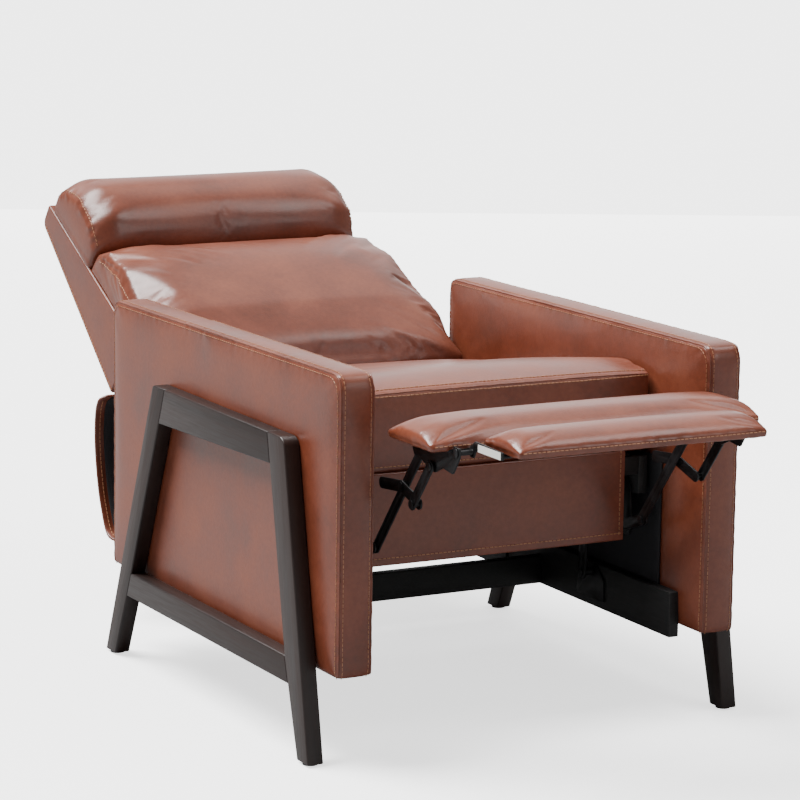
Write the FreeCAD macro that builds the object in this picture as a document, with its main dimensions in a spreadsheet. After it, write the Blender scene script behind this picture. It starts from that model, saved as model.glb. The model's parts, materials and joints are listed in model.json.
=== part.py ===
import FreeCAD, Part
import os
import re
import Sketcher

# Recliner armchair, drawn as it stands: reclined, with the footrest out.
# The chair faces -Y and +Z is up. Side profiles are laid out in a side view
# with f = distance in front of the middle of the legs and z = height, and the
# helper turns f into Y. "left" is the sitter's left, which is +X.

doc = FreeCAD.newDocument("Recliner")
sheet = doc.addObject("Spreadsheet::Sheet", "Dims")

DIMENSIONS = {
    # overall
    "origin_back": 127.641,     # middle of the whole length, behind the legs' middle
    "half_width": 385.0,
    # wooden side frames
    "wood_thick": 27.0,
    "glide_high": 3.0,
    "glide_radius": 12.0,
    "leg_rear_foot": 384.5,
    "leg_front_foot": 384.5,
    "leg_foot_deep": 37.5,
    "frame_top_rear": 191.0,
    "frame_top_front": 292.0,
    "frame_top_high": 490.0,
    "opening_top_rear": 168.0,
    "opening_top_front": 245.0,
    "opening_high_rear": 430.0,
    "opening_high_front": 442.0,
    "opening_low_rear": 279.5,
    "opening_low_front": 301.5,
    "lower_rail_top": 156.0,
    "lower_rail_bottom": 114.0,
    "spacer_thick": 5.0,
    "spacer_radius": 11.0,
    # arms
    "arm_inner": 292.5,
    "arm_outer": 353.0,
    "arm_front": 416.0,
    "arm_rear": 428.0,
    "arm_bottom": 139.0,
    "arm_top_front": 604.0,
    "arm_top_rear": 595.0,
    "arm_corner": 26.0,
    "arm_edge": 6.0,
    "arm_foam": 9.0,
    "arm_board": 22.0,
    "dust_thick": 2.0,
    # base
    "base_rail_inner": 274.0,
    "base_rail_bottom": 122.0,
    "base_rail_top": 196.0,
    "base_rail_front": 350.0,
    "base_rail_rear": 400.0,
    "cross_rail_thick": 20.0,
    "cross_rail_front": 50.0,
    "cross_rail_rear": 285.0,
    "cross_rail_bottom": 124.0,
    "cross_rail_top": 171.0,
    "base_plate_inner": 270.0,
    # steel links, their layers from the inside outward
    "link_thick": 3.0,
    "layer_long": 236.0,
    "layer_cross": 241.5,
    "layer_bracket": 247.0,
    "layer_swing": 252.5,
    "layer_plate": 258.0,
    "plate_thick": 4.0,
    "link_wide": 18.0,
    "pin_radius": 4.0,
    "pin_fit": 0.05,
    "pin_open": 0.6,
    "head_radius": 7.0,
    "head_high": 1.6,
    # swing links under the seat
    "swing_low_front_f": 112.16,
    "swing_low_rear_f": 207.84,
    "swing_low_z": 180.34,
    "swing_long": 90.0,
    "swing_lean": 85.0,
    "swing_wide": 24.0,
    # seat
    "seat_half": 284.0,
    "seat_front": 268.0,
    "seat_rear": 300.0,
    "seat_top_front": 545.0,
    "seat_crown_f": 200.0,
    "seat_crown_z": 556.0,
    "seat_dip_f": 90.0,
    "seat_dip_z": 506.0,
    "seat_top_rear": 472.0,
    "seat_low_front": 413.0,
    "seat_low_rear": 359.0,
    "seat_round": 24.0,
    "seat_rail_inner": 262.0,
    "seat_rail_outer": 279.0,
    "seat_rail_deep": 62.0,
    "seat_rail_gap": 9.0,
    "spring_radius": 2.0,
    "spring_pitch": 78.0,
    "panel_half": 232.0,
    "panel_front": 275.0,
    "panel_thick": 5.0,
    "panel_bottom": 270.0,
    # back, in its own u (up the back) and v (out of its front) directions
    "back_lean": 40.0,
    "back_half": 262.0,
    "shell_low_u": 748.0,
    "shell_rear_v": -120.0,
    "shell_skin": 8.0,
    "shell_side": 12.0,
    "back_top_u": 1160.0,
    "back_low_u": 545.0,
    "line_low_v": 46.0,
    "line_mid_u": 792.0,
    "line_mid_v": 14.0,
    "line_top_v": -72.0,
    "cushion_v": 145.0,
    "lumbar_u": 700.0,
    "lumbar_v": 138.0,
    "groove_u": 957.0,
    "groove_v": 22.0,
    "stile_wide": 40.0,
    "stile_thick": 26.0,
    "back_pivot_f": 345.0,
    "back_pivot_z": 430.0,
    "back_block_half": 272.5,
    "hinge_plate_thick": 4.0,
    "bracket_inner": 279.0,
    # rear skirt
    "skirt_half": 286.0,
    "skirt_hinge_f": 645.0,
    "skirt_hinge_z": 389.0,
    "skirt_thick": 5.0,
    "lining_thick": 2.0,
    # footrest linkage
    "rear_pivot_f": 239.26,
    "rear_pivot_z": 285.6,
    "knee_f": 316.2,
    "knee_z": 312.22,
    "long_lower": 145.0,
    "long_upper": 86.0,
    "long_lean": 51.5,
    "cross_front_f": 54.0,
    "cross_front_z": -16.0,
    "cross_back_f": -62.0,
    "cross_back_z": -6.0,
    # footrest pads
    "ottoman_half": 286.0,
    "ottoman_rear": 432.0,
    "ottoman_front": 574.0,
    "ottoman_board_z": 508.0,
    "ottoman_board_thick": 12.0,
    "ottoman_top": 546.0,
    "flip_hinge_f": 584.0,
    "flip_hinge_z": 509.0,
    "flip_half": 213.0,
    "flip_rear": 593.0,
    "flip_front": 703.0,
    "flip_board_z": 516.0,
    "flip_board_thick": 9.0,
    "flip_top": 550.0,
    "flip_plate_inner": 221.0,
}
row = 1
for name, value in DIMENSIONS.items():
    sheet.set("A%d" % row, name)
    sheet.set("B%d" % row, str(value))
    sheet.setAlias("B%d" % row, name)
    row += 1
doc.recompute()

nodes = []


def bound(text):
    """An expression with each dimension's name turned into its cell."""
    def swap(match):
        word = match.group(0)
        return "Dims." + word if word in DIMENSIONS else word
    return re.sub(r"[a-z_][a-z0-9_]*", swap, str(text))


def y_of(f_text):
    """Y of a side-view distance f."""
    return bound("-(%s) - origin_back" % f_text)


def number(text):
    """The number that an expression of dimensions comes to."""
    return float(sheet.evalExpression(bound(text)))


def on_back(u_text, v_text):
    """A point of the back's own u, v grid as side-view expressions (f, z)."""
    f_text = "-cos(back_lean) * (%s) + sin(back_lean) * (%s)" % (u_text, v_text)
    z_text = "sin(back_lean) * (%s) + cos(back_lean) * (%s)" % (u_text, v_text)
    return (f_text, z_text)


def node(feature, label):
    """Keep a finished object as the node of this name."""
    feature.Label = label
    nodes.append(feature)
    return feature


def plane_of(body, role):
    for item in body.Origin.OriginFeatures:
        if item.Role == role:
            return item
    raise ValueError(role)


def outline(sketch, corners):
    """Draw a closed outline in the side view, every corner bound to the sheet."""
    spots = []
    for f_text, z_text in corners:
        spots.append((y_of(f_text), bound(z_text)))
    points = []
    for y_text, z_text in spots:
        y_now = float(sheet.evalExpression(y_text))
        z_now = float(sheet.evalExpression(z_text))
        points.append(FreeCAD.Vector(y_now, z_now, 0))
    count = len(points)
    first = sketch.GeometryCount
    for i in range(count):
        sketch.addGeometry(Part.LineSegment(points[i], points[(i + 1) % count]))
    for i in range(count):
        here = first + i
        after = first + (i + 1) % count
        sketch.addConstraint(Sketcher.Constraint("Coincident", here, 2, after, 1))
    for i in range(count):
        here = first + i
        across = sketch.addConstraint(
            Sketcher.Constraint("DistanceX", -1, 1, here, 1, points[i].x))
        sketch.setExpression("Constraints[%d]" % across, spots[i][0])
        up = sketch.addConstraint(
            Sketcher.Constraint("DistanceY", -1, 1, here, 1, points[i].y))
        sketch.setExpression("Constraints[%d]" % up, spots[i][1])


def round_hole(sketch, f_text, z_text, radius_text):
    """A circle in the side view, centre and radius bound to the sheet."""
    y_text = y_of(f_text)
    y_now = float(sheet.evalExpression(y_text))
    z_now = number(z_text)
    middle = FreeCAD.Vector(y_now, z_now, 0)
    here = sketch.addGeometry(Part.Circle(middle, FreeCAD.Vector(0, 0, 1), number(radius_text)))
    across = sketch.addConstraint(Sketcher.Constraint("DistanceX", -1, 1, here, 3, y_now))
    sketch.setExpression("Constraints[%d]" % across, y_text)
    up = sketch.addConstraint(Sketcher.Constraint("DistanceY", -1, 1, here, 3, z_now))
    sketch.setExpression("Constraints[%d]" % up, bound(z_text))
    size = sketch.addConstraint(Sketcher.Constraint("Radius", here, number(radius_text)))
    sketch.setExpression("Constraints[%d]" % size, bound(radius_text))


def side_sketch(body, label, x_text):
    """A sketch in the side view, standing at X = x_text."""
    sketch = body.newObject("Sketcher::SketchObject", label)
    sketch.AttachmentSupport = [(plane_of(body, "YZ_Plane"), "")]
    sketch.MapMode = "FlatFace"
    sketch.setExpression("AttachmentOffset.Base.z", bound(x_text))
    return sketch


def edges_at(shape, spots, tolerance=0.5):
    """Names of the straight edges along X that stand at these (y, z) spots."""
    found = []
    for index, edge in enumerate(shape.Edges):
        box = edge.BoundBox
        if box.YLength > 0.01 or box.ZLength > 0.01:
            continue
        for y_now, z_now in spots:
            if abs(box.YMin - y_now) < tolerance and abs(box.ZMin - z_now) < tolerance:
                found.append("Edge%d" % (index + 1))
    return found


def slab(label, x_text, thick_text, corners, holes=(), windows=(), rounds=(), rim=None):
    """A body: a side outline from X = x_text, thick_text deep, with its holes.

    holes are (f, z, radius), windows are outlines cut right through, rounds are
    (corner number, radius) pairs and rim rounds the edges of the two side faces.
    """
    body = doc.addObject("PartDesign::Body", label)
    sketch = side_sketch(body, label + "_outline", x_text)
    outline(sketch, corners)
    for window in windows:
        outline(sketch, window)
    for f_text, z_text, radius_text in holes:
        round_hole(sketch, f_text, z_text, radius_text)
    pad = body.newObject("PartDesign::Pad", label + "_pad")
    pad.Profile = sketch
    pad.setExpression("Length", bound(thick_text))
    doc.recompute()
    for corner, radius_text in rounds:
        f_text, z_text = corners[corner]
        spot = (float(sheet.evalExpression(y_of(f_text))), number(z_text))
        base = body.Tip
        names = edges_at(base.Shape, [spot])
        fillet = body.newObject("PartDesign::Fillet", "%s_round%d" % (label, corner))
        fillet.Base = (base, names)
        fillet.setExpression("Radius", bound(radius_text))
        doc.recompute()
    if rim:
        base = body.Tip
        low = base.Shape.BoundBox.XMin
        high = base.Shape.BoundBox.XMax
        names = []
        for index, edge in enumerate(base.Shape.Edges):
            box = edge.BoundBox
            flat = box.XLength < 0.01
            if flat and (abs(box.XMin - low) < 0.01 or abs(box.XMin - high) < 0.01):
                names.append("Edge%d" % (index + 1))
        fillet = body.newObject("PartDesign::Fillet", label + "_rim")
        fillet.Base = (base, names)
        fillet.setExpression("Radius", bound(rim))
        doc.recompute()
    return body


def paired(side, inner_text, thick_text):
    """Where a plate starts in X on this side (1 left, -1 right)."""
    if side > 0:
        return inner_text
    return "-(%s) - (%s)" % (inner_text, thick_text)


def disc(label, x_text, long_text, f_text, z_text, radius_text):
    """A round bar along X."""
    bar = doc.addObject("Part::Cylinder", label)
    bar.Placement = FreeCAD.Placement(
        FreeCAD.Vector(), FreeCAD.Rotation(FreeCAD.Vector(0, 1, 0), 90))
    bar.setExpression("Radius", bound(radius_text))
    bar.setExpression("Height", bound(long_text))
    bar.setExpression("Placement.Base.x", bound(x_text))
    bar.setExpression("Placement.Base.y", y_of(f_text))
    bar.setExpression("Placement.Base.z", bound(z_text))
    return bar


def block(label, x_text, f_front, z_text, size):
    """A box from X = x_text back from f_front and up from z_text."""
    box = doc.addObject("Part::Box", label)
    box.setExpression("Length", bound(size[0]))
    box.setExpression("Width", bound(size[1]))
    box.setExpression("Height", bound(size[2]))
    box.setExpression("Placement.Base.x", bound(x_text))
    box.setExpression("Placement.Base.y", y_of(f_front))
    box.setExpression("Placement.Base.z", bound(z_text))
    return box


def joined(label, pieces):
    fuse = doc.addObject("Part::MultiFuse", label)
    fuse.Shapes = pieces
    return fuse


def minus(label, base, tool):
    cut = doc.addObject("Part::Cut", label)
    cut.Base = base
    cut.Tool = tool
    return cut


def group(label, pieces):
    """Separate solids that share one node."""
    compound = doc.addObject("Part::Compound", label)
    compound.Links = pieces
    return compound


def arm_between(label, x_text, thick_text, start, end, wide_text):
    """A flat bar along the line between two pivots."""
    bar = doc.addObject("Part::Box", label)
    run_y = "(%s) - (%s)" % (y_of(end[0]), y_of(start[0]))
    run_z = "(%s) - (%s)" % (bound(end[1]), bound(start[1]))
    turn = "atan2(%s; %s)" % (run_z, run_y)
    half = "(%s) / 2" % bound(wide_text)
    bar.setExpression("Length", bound(thick_text))
    bar.setExpression("Width", "hypot(%s; %s)" % (run_y, run_z))
    bar.setExpression("Height", bound(wide_text))
    bar.Placement = FreeCAD.Placement(
        FreeCAD.Vector(), FreeCAD.Rotation(FreeCAD.Vector(1, 0, 0), 1))
    bar.setExpression("Placement.Rotation.Angle", turn)
    bar.setExpression("Placement.Base.x", bound(x_text))
    bar.setExpression("Placement.Base.y", "%s + %s * sin(%s)" % (y_of(start[0]), half, turn))
    bar.setExpression("Placement.Base.z", "%s - %s * cos(%s)" % (bound(start[1]), half, turn))
    return bar


def link(label, side, layer, pivots, studs=(), eyes=(), wide="link_wide", extra=()):
    """A steel link: bars between its pivots, studs fixed in it, eyes cut in it.

    studs are (pivot, reach, head): the stud runs outward from the link's outer
    face by reach (inward where reach starts with a minus) and ends in a head.
    eyes are (pivot, clearance) and take another piece's stud.
    """
    start = paired(side, layer, "link_thick")
    solids = []
    for index, pivot in enumerate(pivots):
        eye = disc("%s_eye%d" % (label, index), start, "link_thick",
                   pivot[0], pivot[1], "%s / 2" % wide)
        solids.append(eye)
    for index in range(len(pivots) - 1):
        bar = arm_between("%s_bar%d" % (label, index), start, "link_thick",
                          pivots[index], pivots[index + 1], wide)
        solids.append(bar)
    shape = joined(label + "_flat", solids + list(extra))
    for index, (pivot, clearance) in enumerate(eyes):
        hole = disc("%s_hole%d" % (label, index), start, "link_thick",
                    pivot[0], pivot[1], "pin_radius + %s" % clearance)
        shape = minus("%s_bored%d" % (label, index), shape, hole)
    rods = []
    for index, (pivot, inner, outer, headed) in enumerate(studs):
        long_text = "(%s) - (%s)" % (outer, inner)
        rod = disc("%s_stud%d" % (label, index), paired(side, inner, long_text), long_text,
                   pivot[0], pivot[1], "pin_radius")
        rods.append(rod)
        if headed:
            base = outer if headed > 0 else "(%s) - head_high" % inner
            head = disc("%s_head%d" % (label, index), paired(side, base, "head_high"),
                        "head_high", pivot[0], pivot[1], "head_radius")
            rods.append(head)
    if rods:
        shape = joined(label + "_body", [shape] + rods)
    return node(shape, label)


SIDES = (("left", 1), ("right", -1))

# ---------------------------------------------------------------- side frames
rear_foot = ("-leg_rear_foot", "glide_high")
rear_heel = ("-leg_rear_foot + leg_foot_deep", "glide_high")
front_toe = ("leg_front_foot", "glide_high")
front_heel = ("leg_front_foot - leg_foot_deep", "glide_high")
low_rear = ("-opening_low_rear", "lower_rail_top")
low_front = ("opening_low_front", "lower_rail_top")
under_rear = ("-opening_low_rear - 18", "lower_rail_bottom")
under_front = ("opening_low_front + 12", "lower_rail_bottom")
open_rear = ("-opening_top_rear", "opening_high_rear")
open_front = ("opening_top_front", "opening_high_front")
top_rear = ("-opening_top_rear + 24", "frame_top_high")
top_front = ("opening_top_front - 9", "frame_top_high")
rear_shoulder = ("-frame_top_rear", "frame_top_high")
front_shoulder = ("frame_top_front", "frame_top_high")

FRAME_MEMBERS = {
    "front_leg": [front_heel, front_toe, front_shoulder, top_front, open_front,
                  low_front, under_front],
    "rear_leg": [rear_foot, rear_heel, under_rear, low_rear, open_rear, top_rear,
                 rear_shoulder],
    "top_rail": [open_rear, open_front, top_front, top_rear],
    "lower_rail": [under_rear, under_front, low_front, low_rear],
}
spacers = []
glides = []
for side_name, side in SIDES:
    frame_x = paired(side, "half_width - wood_thick", "wood_thick")
    for member, corners in FRAME_MEMBERS.items():
        rounds = []
        if member == "front_leg":
            rounds = [(2, "18")]
        if member == "rear_leg":
            rounds = [(6, "8")]
        label = "%s_%s" % (side_name, member)
        node(slab(label, frame_x, "wood_thick", corners, rounds=rounds), label)
    spots = [("-opening_top_rear + 5", "460"), ("opening_top_front - 5", "465"),
             ("-opening_low_rear - 25", "175"), ("opening_low_front + 12", "175")]
    for index, (f_text, z_text) in enumerate(spots):
        spacers.append(disc("spacer_%s%d" % (side_name, index),
                            paired(side, "arm_outer", "spacer_thick"), "spacer_thick",
                            f_text, z_text, "spacer_radius"))
    for end, f_text in (("front", "leg_front_foot - leg_foot_deep / 2"),
                        ("rear", "-leg_rear_foot + leg_foot_deep / 2")):
        glide = doc.addObject("Part::Cylinder", "glide_%s_%s" % (side_name, end))
        glide.setExpression("Radius", bound("glide_radius"))
        glide.setExpression("Height", bound("glide_high"))
        glide.setExpression("Placement.Base.x",
                            bound("%d * (half_width - wood_thick / 2)" % side))
        glide.setExpression("Placement.Base.y", y_of(f_text))
        glides.append(glide)
node(group("spacer_set", spacers), "frame_spacers")
node(group("glide_set", glides), "foot_glides")

# ----------------------------------------------------------------------- arms
for side_name, side in SIDES:
    arm_x = paired(side, "arm_inner", "arm_outer - arm_inner")
    cover = slab("%s_arm_outside" % side_name, arm_x, "arm_outer - arm_inner",
                 [("-arm_rear", "arm_bottom"), ("arm_front", "arm_bottom"),
                  ("arm_front", "arm_top_front"), ("-arm_rear", "arm_top_rear")],
                 rounds=[(2, "arm_corner"), (3, "arm_corner")], rim="arm_edge")
    cavity_x = paired(side, "arm_inner + arm_foam", "arm_outer - arm_inner - 2 * arm_foam")
    cavity = slab("%s_arm_cavity" % side_name, cavity_x, "arm_outer - arm_inner - 2 * arm_foam",
                  [("-arm_rear + 14", "arm_bottom - 5"), ("arm_front - 14", "arm_bottom - 5"),
                   ("arm_front - 14", "arm_top_front - 42"),
                   ("-arm_rear + 14", "arm_top_rear - 42")])
    node(minus("%s_arm_hollow" % side_name, cover, cavity), "%s_arm_cover" % side_name)
    frame_wide = "arm_outer - arm_inner - 2 * arm_foam - 1"
    frame_x = paired(side, "arm_inner + arm_foam + 0.5", frame_wide)
    label = "%s_arm_frame" % side_name
    outer = [("-arm_rear + 15", "arm_bottom + 5"), ("arm_front - 15", "arm_bottom + 5"),
             ("arm_front - 15", "arm_top_front - 43"), ("-arm_rear + 15", "arm_top_rear - 43")]
    inner = [("-arm_rear + 15 + 3 * arm_board", "arm_bottom + 5 + 3 * arm_board"),
             ("arm_front - 15 - 3 * arm_board", "arm_bottom + 5 + 3 * arm_board"),
             ("arm_front - 15 - 3 * arm_board", "arm_top_front - 43 - 2 * arm_board"),
             ("-arm_rear + 15 + 3 * arm_board", "arm_top_rear - 43 - 2 * arm_board")]
    node(slab(label, frame_x, frame_wide, outer, windows=[inner]), label)
dust = []
for side_name, side in SIDES:
    wide = "arm_outer - arm_inner - 2 * arm_foam - 1"
    dust.append(block("%s_dust" % side_name, paired(side, "arm_inner + arm_foam + 0.5", wide),
                      "arm_front - 15", "arm_bottom + 1",
                      (wide, "arm_front + arm_rear - 30", "dust_thick")))
node(group("dust_set", dust), "arm_dust_covers")

# ----------------------------------------------------------------------- base
for side_name, side in SIDES:
    label = "%s_base_rail" % side_name
    thick = "arm_inner - base_rail_inner"
    node(slab(label, paired(side, "base_rail_inner", thick), thick,
              [("-base_rail_rear", "base_rail_bottom"), ("base_rail_front", "base_rail_bottom"),
               ("base_rail_front", "base_rail_top"), ("-base_rail_rear", "base_rail_top")]),
         label)
cross = []
for end, f_text in (("front", "-cross_rail_front"), ("rear", "-cross_rail_rear")):
    cross.append(block("cross_%s" % end, "-base_rail_inner", f_text, "cross_rail_bottom",
                       ("2 * base_rail_inner", "cross_rail_thick",
                        "cross_rail_top - cross_rail_bottom")))
node(group("cross_set", cross), "cross_rails")

low_front_pivot = ("swing_low_front_f", "swing_low_z")
low_rear_pivot = ("-swing_low_rear_f", "swing_low_z")
plates = []
for side_name, side in SIDES:
    base_x = paired(side, "base_plate_inner", "plate_thick")
    for end, pivot in (("front", low_front_pivot), ("rear", low_rear_pivot)):
        f_text, z_text = pivot
        corners = [("%s - 42" % f_text, "%s - 44" % z_text),
                   ("%s + 42" % f_text, "%s - 44" % z_text),
                   ("%s + 42" % f_text, "%s - 8" % z_text),
                   ("%s + 16" % f_text, "%s + 16" % z_text),
                   ("%s - 16" % f_text, "%s + 16" % z_text),
                   ("%s - 42" % f_text, "%s - 8" % z_text)]
        plate = slab("%s_%s_base_plate" % (side_name, end), base_x, "plate_thick", corners,
                     rounds=[(3, "8"), (4, "8")])
        stem = disc("%s_%s_base_stud" % (side_name, end),
                    paired(side, "layer_swing - 0.4", "base_plate_inner - layer_swing + 0.4"),
                    "base_plate_inner - layer_swing + 0.4", f_text, z_text, "pin_radius")
        head = disc("%s_%s_base_head" % (side_name, end),
                    paired(side, "layer_swing - 0.4 - head_high", "head_high"),
                    "head_high", f_text, z_text, "head_radius")
        sleeve = disc("%s_%s_base_sleeve" % (side_name, end),
                      paired(side, "layer_swing + link_thick + 0.4",
                             "base_plate_inner - layer_swing - link_thick - 0.4"),
                      "base_plate_inner - layer_swing - link_thick - 0.4",
                      f_text, z_text, "pin_radius + 3")
        plates.append(joined("%s_%s_base_mount" % (side_name, end), [plate, stem, head, sleeve]))
node(group("base_plate_set", plates), "base_plates")

# ---------------------------------------------------------------- swing links
top_f = "%s + swing_long * cos(swing_lean)"
top_z = "swing_low_z + swing_long * sin(swing_lean)"
high_front_pivot = (top_f % "swing_low_front_f", top_z)
high_rear_pivot = (top_f % "-swing_low_rear_f", top_z)
for side_name, side in SIDES:
    for end, low, high in (("front", low_front_pivot, high_front_pivot),
                           ("rear", low_rear_pivot, high_rear_pivot)):
        open_pivot = "pin_fit" if (side_name, end) == ("left", "front") else "pin_open"
        link("%s_%s_swing_link" % (side_name, end), side, "layer_swing", [low, high],
             eyes=[(low, "pin_fit"), (high, open_pivot)], wide="swing_wide")

# ----------------------------------------------------------------- seat steel
rear_pivot = ("rear_pivot_f", "rear_pivot_z")
low_line = "seat_low_front - (seat_front - (%s)) * (seat_low_front - seat_low_rear)" \
           " / (seat_front + seat_rear)"
for side_name, side in SIDES:
    plate_x = paired(side, "layer_plate", "plate_thick")
    corners = [("-235", "350"), ("-228", "300"),
               ("-swing_low_rear_f - 8", "%s - 14" % top_z),
               ("-swing_low_rear_f + 24", "%s - 14" % top_z),
               ("-160", "305"), ("80", "312"),
               ("swing_low_front_f - 8", "%s - 14" % top_z),
               ("swing_low_front_f + 24", "%s - 14" % top_z),
               ("160", "268"), ("rear_pivot_f + 6", "rear_pivot_z - 15"),
               ("rear_pivot_f + 16", "rear_pivot_z"),
               ("rear_pivot_f + 8", "350"), ("225", "385"), ("-225", "352")]
    plate = slab("%s_seat_plate_flat" % side_name, plate_x, "plate_thick", corners,
                 rounds=[(2, "9"), (3, "9"), (6, "9"), (7, "9"), (9, "9")])
    pieces = [plate]
    for end, high in (("front", high_front_pivot), ("rear", high_rear_pivot)):
        reach = "layer_plate - layer_swing + 0.4"
        pieces.append(disc("%s_%s_seat_stud" % (side_name, end),
                           paired(side, "layer_swing - 0.4", reach), reach,
                           high[0], high[1], "pin_radius"))
        pieces.append(disc("%s_%s_seat_head" % (side_name, end),
                           paired(side, "layer_swing - 0.4 - head_high", "head_high"),
                           "head_high", high[0], high[1], "head_radius"))
        sleeve = "layer_plate - layer_swing - link_thick - 0.4"
        pieces.append(disc("%s_%s_seat_sleeve" % (side_name, end),
                           paired(side, "layer_swing + link_thick + 0.4", sleeve), sleeve,
                           high[0], high[1], "pin_radius + 3"))
    reach = "layer_plate - layer_cross + 0.4"
    pieces.append(disc("%s_rear_link_stud" % side_name,
                       paired(side, "layer_cross - 0.4", reach), reach,
                       rear_pivot[0], rear_pivot[1], "pin_radius"))
    pieces.append(disc("%s_rear_link_head" % side_name,
                       paired(side, "layer_cross - 0.4 - head_high", "head_high"),
                       "head_high", rear_pivot[0], rear_pivot[1], "head_radius"))
    sleeve = "layer_plate - layer_cross - link_thick - 0.4"
    pieces.append(disc("%s_rear_link_sleeve" % side_name,
                       paired(side, "layer_cross + link_thick + 0.4", sleeve), sleeve,
                       rear_pivot[0], rear_pivot[1], "pin_radius + 3"))
    node(joined("%s_seat_plate_all" % side_name, pieces), "%s_seat_plate" % side_name)

# ----------------------------------------------------------------- seat frame
for side_name, side in SIDES:
    label = "%s_seat_rail" % side_name
    thick = "seat_rail_outer - seat_rail_inner"
    rail_top = low_line + " - seat_rail_gap"
    node(slab(label, paired(side, "seat_rail_inner", thick), thick,
              [("-seat_rear - 22", rail_top % "-seat_rear - 22" + " - seat_rail_deep"),
               ("seat_front - 2", rail_top % "seat_front - 2" + " - seat_rail_deep"),
               ("seat_front - 2", rail_top % "seat_front - 2"),
               ("-seat_rear - 22", rail_top % "-seat_rear - 22")]), label)
for label, front_f, rear_f in (("seat_front_rail", "seat_front - 2", "seat_front - 24"),
                               ("seat_rear_rail", "-seat_rear", "-seat_rear - 22")):
    rail_top = low_line + " - seat_rail_gap"
    low_front = rail_top % front_f + " - seat_rail_deep"
    low_rear = rail_top % rear_f + " - seat_rail_deep"
    half = "seat_rail_inner"
    if label == "seat_front_rail":
        low_front = rail_top % front_f + " - 30"
        low_rear = rail_top % rear_f + " - 30"
    node(slab(label, "-(%s)" % half, "2 * (%s)" % half,
              [(rear_f, low_rear), (front_f, low_front),
               (front_f, rail_top % front_f), (rear_f, rail_top % rear_f)]), label)
springs = []
for index in range(7):
    x_text = "spring_pitch * %d" % (index - 3)
    wire = doc.addObject("Part::Cylinder", "spring_%d" % index)
    front_z = low_line % "seat_front - 4"
    run = "seat_front + seat_rear + 14"
    rise = "(seat_low_front - seat_low_rear) / (seat_front + seat_rear) * (%s)" % run
    wire.setExpression("Radius", bound("spring_radius"))
    wire.setExpression("Height", bound("hypot(%s; %s)" % (run, rise)))
    wire.Placement = FreeCAD.Placement(
        FreeCAD.Vector(), FreeCAD.Rotation(FreeCAD.Vector(-1, 0, 0), 95))
    wire.setExpression("Placement.Rotation.Angle", bound("90 deg + atan2(%s; %s)" % (rise, run)))
    wire.setExpression("Placement.Base.x", bound(x_text))
    wire.setExpression("Placement.Base.y", y_of("seat_front - 4"))
    wire.setExpression("Placement.Base.z", bound("%s - 4 - spring_radius" % front_z))
    springs.append(wire)
node(group("spring_set", springs), "seat_springs")

node(slab("seat_cushion_block", "-seat_half", "2 * seat_half",
          [("-seat_rear", "seat_low_rear"), ("seat_front", "seat_low_front"),
           ("seat_front", "seat_top_front"), ("seat_crown_f", "seat_crown_z"),
           ("-seat_dip_f", "seat_dip_z"), ("-seat_rear", "seat_top_rear")],
          rounds=[(2, "seat_round"), (5, "seat_round")], rim="8"), "seat_cushion")
node(slab("front_panel_board", "-panel_half", "2 * panel_half",
          [("seat_front", "panel_bottom"), ("panel_front", "panel_bottom"),
           ("panel_front", "seat_low_front + 3"), ("seat_front", "seat_low_front + 3")],
          rounds=[(1, "2"), (2, "2")]), "front_panel")

back_pivot = ("-back_pivot_f", "back_pivot_z")
brackets = []
for side_name, side in SIDES:
    thick = "hinge_plate_thick"
    corners = [("-225", "300"), ("-225", "346"), ("-seat_rear - 4", "350"),
               ("-back_pivot_f + 22", "back_pivot_z + 12"),
               ("-back_pivot_f + 8", "back_pivot_z + 16"),
               ("-back_pivot_f - 14", "back_pivot_z + 6"),
               ("-back_pivot_f - 12", "back_pivot_z - 14"), ("-315", "298")]
    plate = slab("%s_bracket_flat" % side_name, paired(side, "bracket_inner", thick), thick,
                 corners, rounds=[(4, "6"), (5, "6"), (6, "6")])
    reach = "bracket_inner - back_block_half + 0.4"
    stud = disc("%s_bracket_stud" % side_name,
                paired(side, "back_block_half - 0.4", reach), reach,
                back_pivot[0], back_pivot[1], "pin_radius + 1")
    head = disc("%s_bracket_head" % side_name,
                paired(side, "back_block_half - 0.4 - head_high", "head_high"),
                "head_high", back_pivot[0], back_pivot[1], "head_radius + 1")
    brackets.append(joined("%s_bracket" % side_name, [plate, stud, head]))
node(group("bracket_set", brackets), "seat_hinge_brackets")

# ----------------------------------------------------------------------- back
line_mid = "line_low_v + (line_mid_v - line_low_v) * ((%s) - back_low_u) / (line_mid_u - back_low_u)"
line_high = "line_mid_v + (line_top_v - line_mid_v) * ((%s) - line_mid_u) / (back_top_u - line_mid_u)"
frame_back = " - stile_thick - 1"
stiles = []
for side_name, side in SIDES:
    stile_x = paired(side, "back_half - shell_side - stile_wide - 1", "stile_wide")
    corners = [on_back("back_low_u", "line_low_v - 1"), on_back("back_low_u", "line_low_v" + frame_back),
               on_back("line_mid_u", "line_mid_v" + frame_back),
               on_back("back_top_u - 30", line_high % "back_top_u - 30" + frame_back),
               on_back("back_top_u - 30", line_high % "back_top_u - 30" + " - 1"),
               on_back("line_mid_u", "line_mid_v - 1")]
    stiles.append(slab("%s_stile" % side_name, stile_x, "stile_wide", corners))
half_inside = "back_half - shell_side - stile_wide - 1"
rails = []
for name, u_low, deep in (("mid", "line_mid_u - 60", 40), ("top", "back_top_u - 80", 50)):
    line = line_mid if name == "mid" else line_high
    u_high = "%s + %d" % (u_low, deep)
    corners = [on_back(u_low, line % u_low + frame_back), on_back(u_high, line % u_high + frame_back),
               on_back(u_high, line % u_high + " - 1"), on_back(u_low, line % u_low + " - 1")]
    rails.append(slab("back_rail_%s" % name, "-(%s)" % half_inside, "2 * (%s)" % half_inside, corners))
u_low = "back_low_u + 5"
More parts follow.
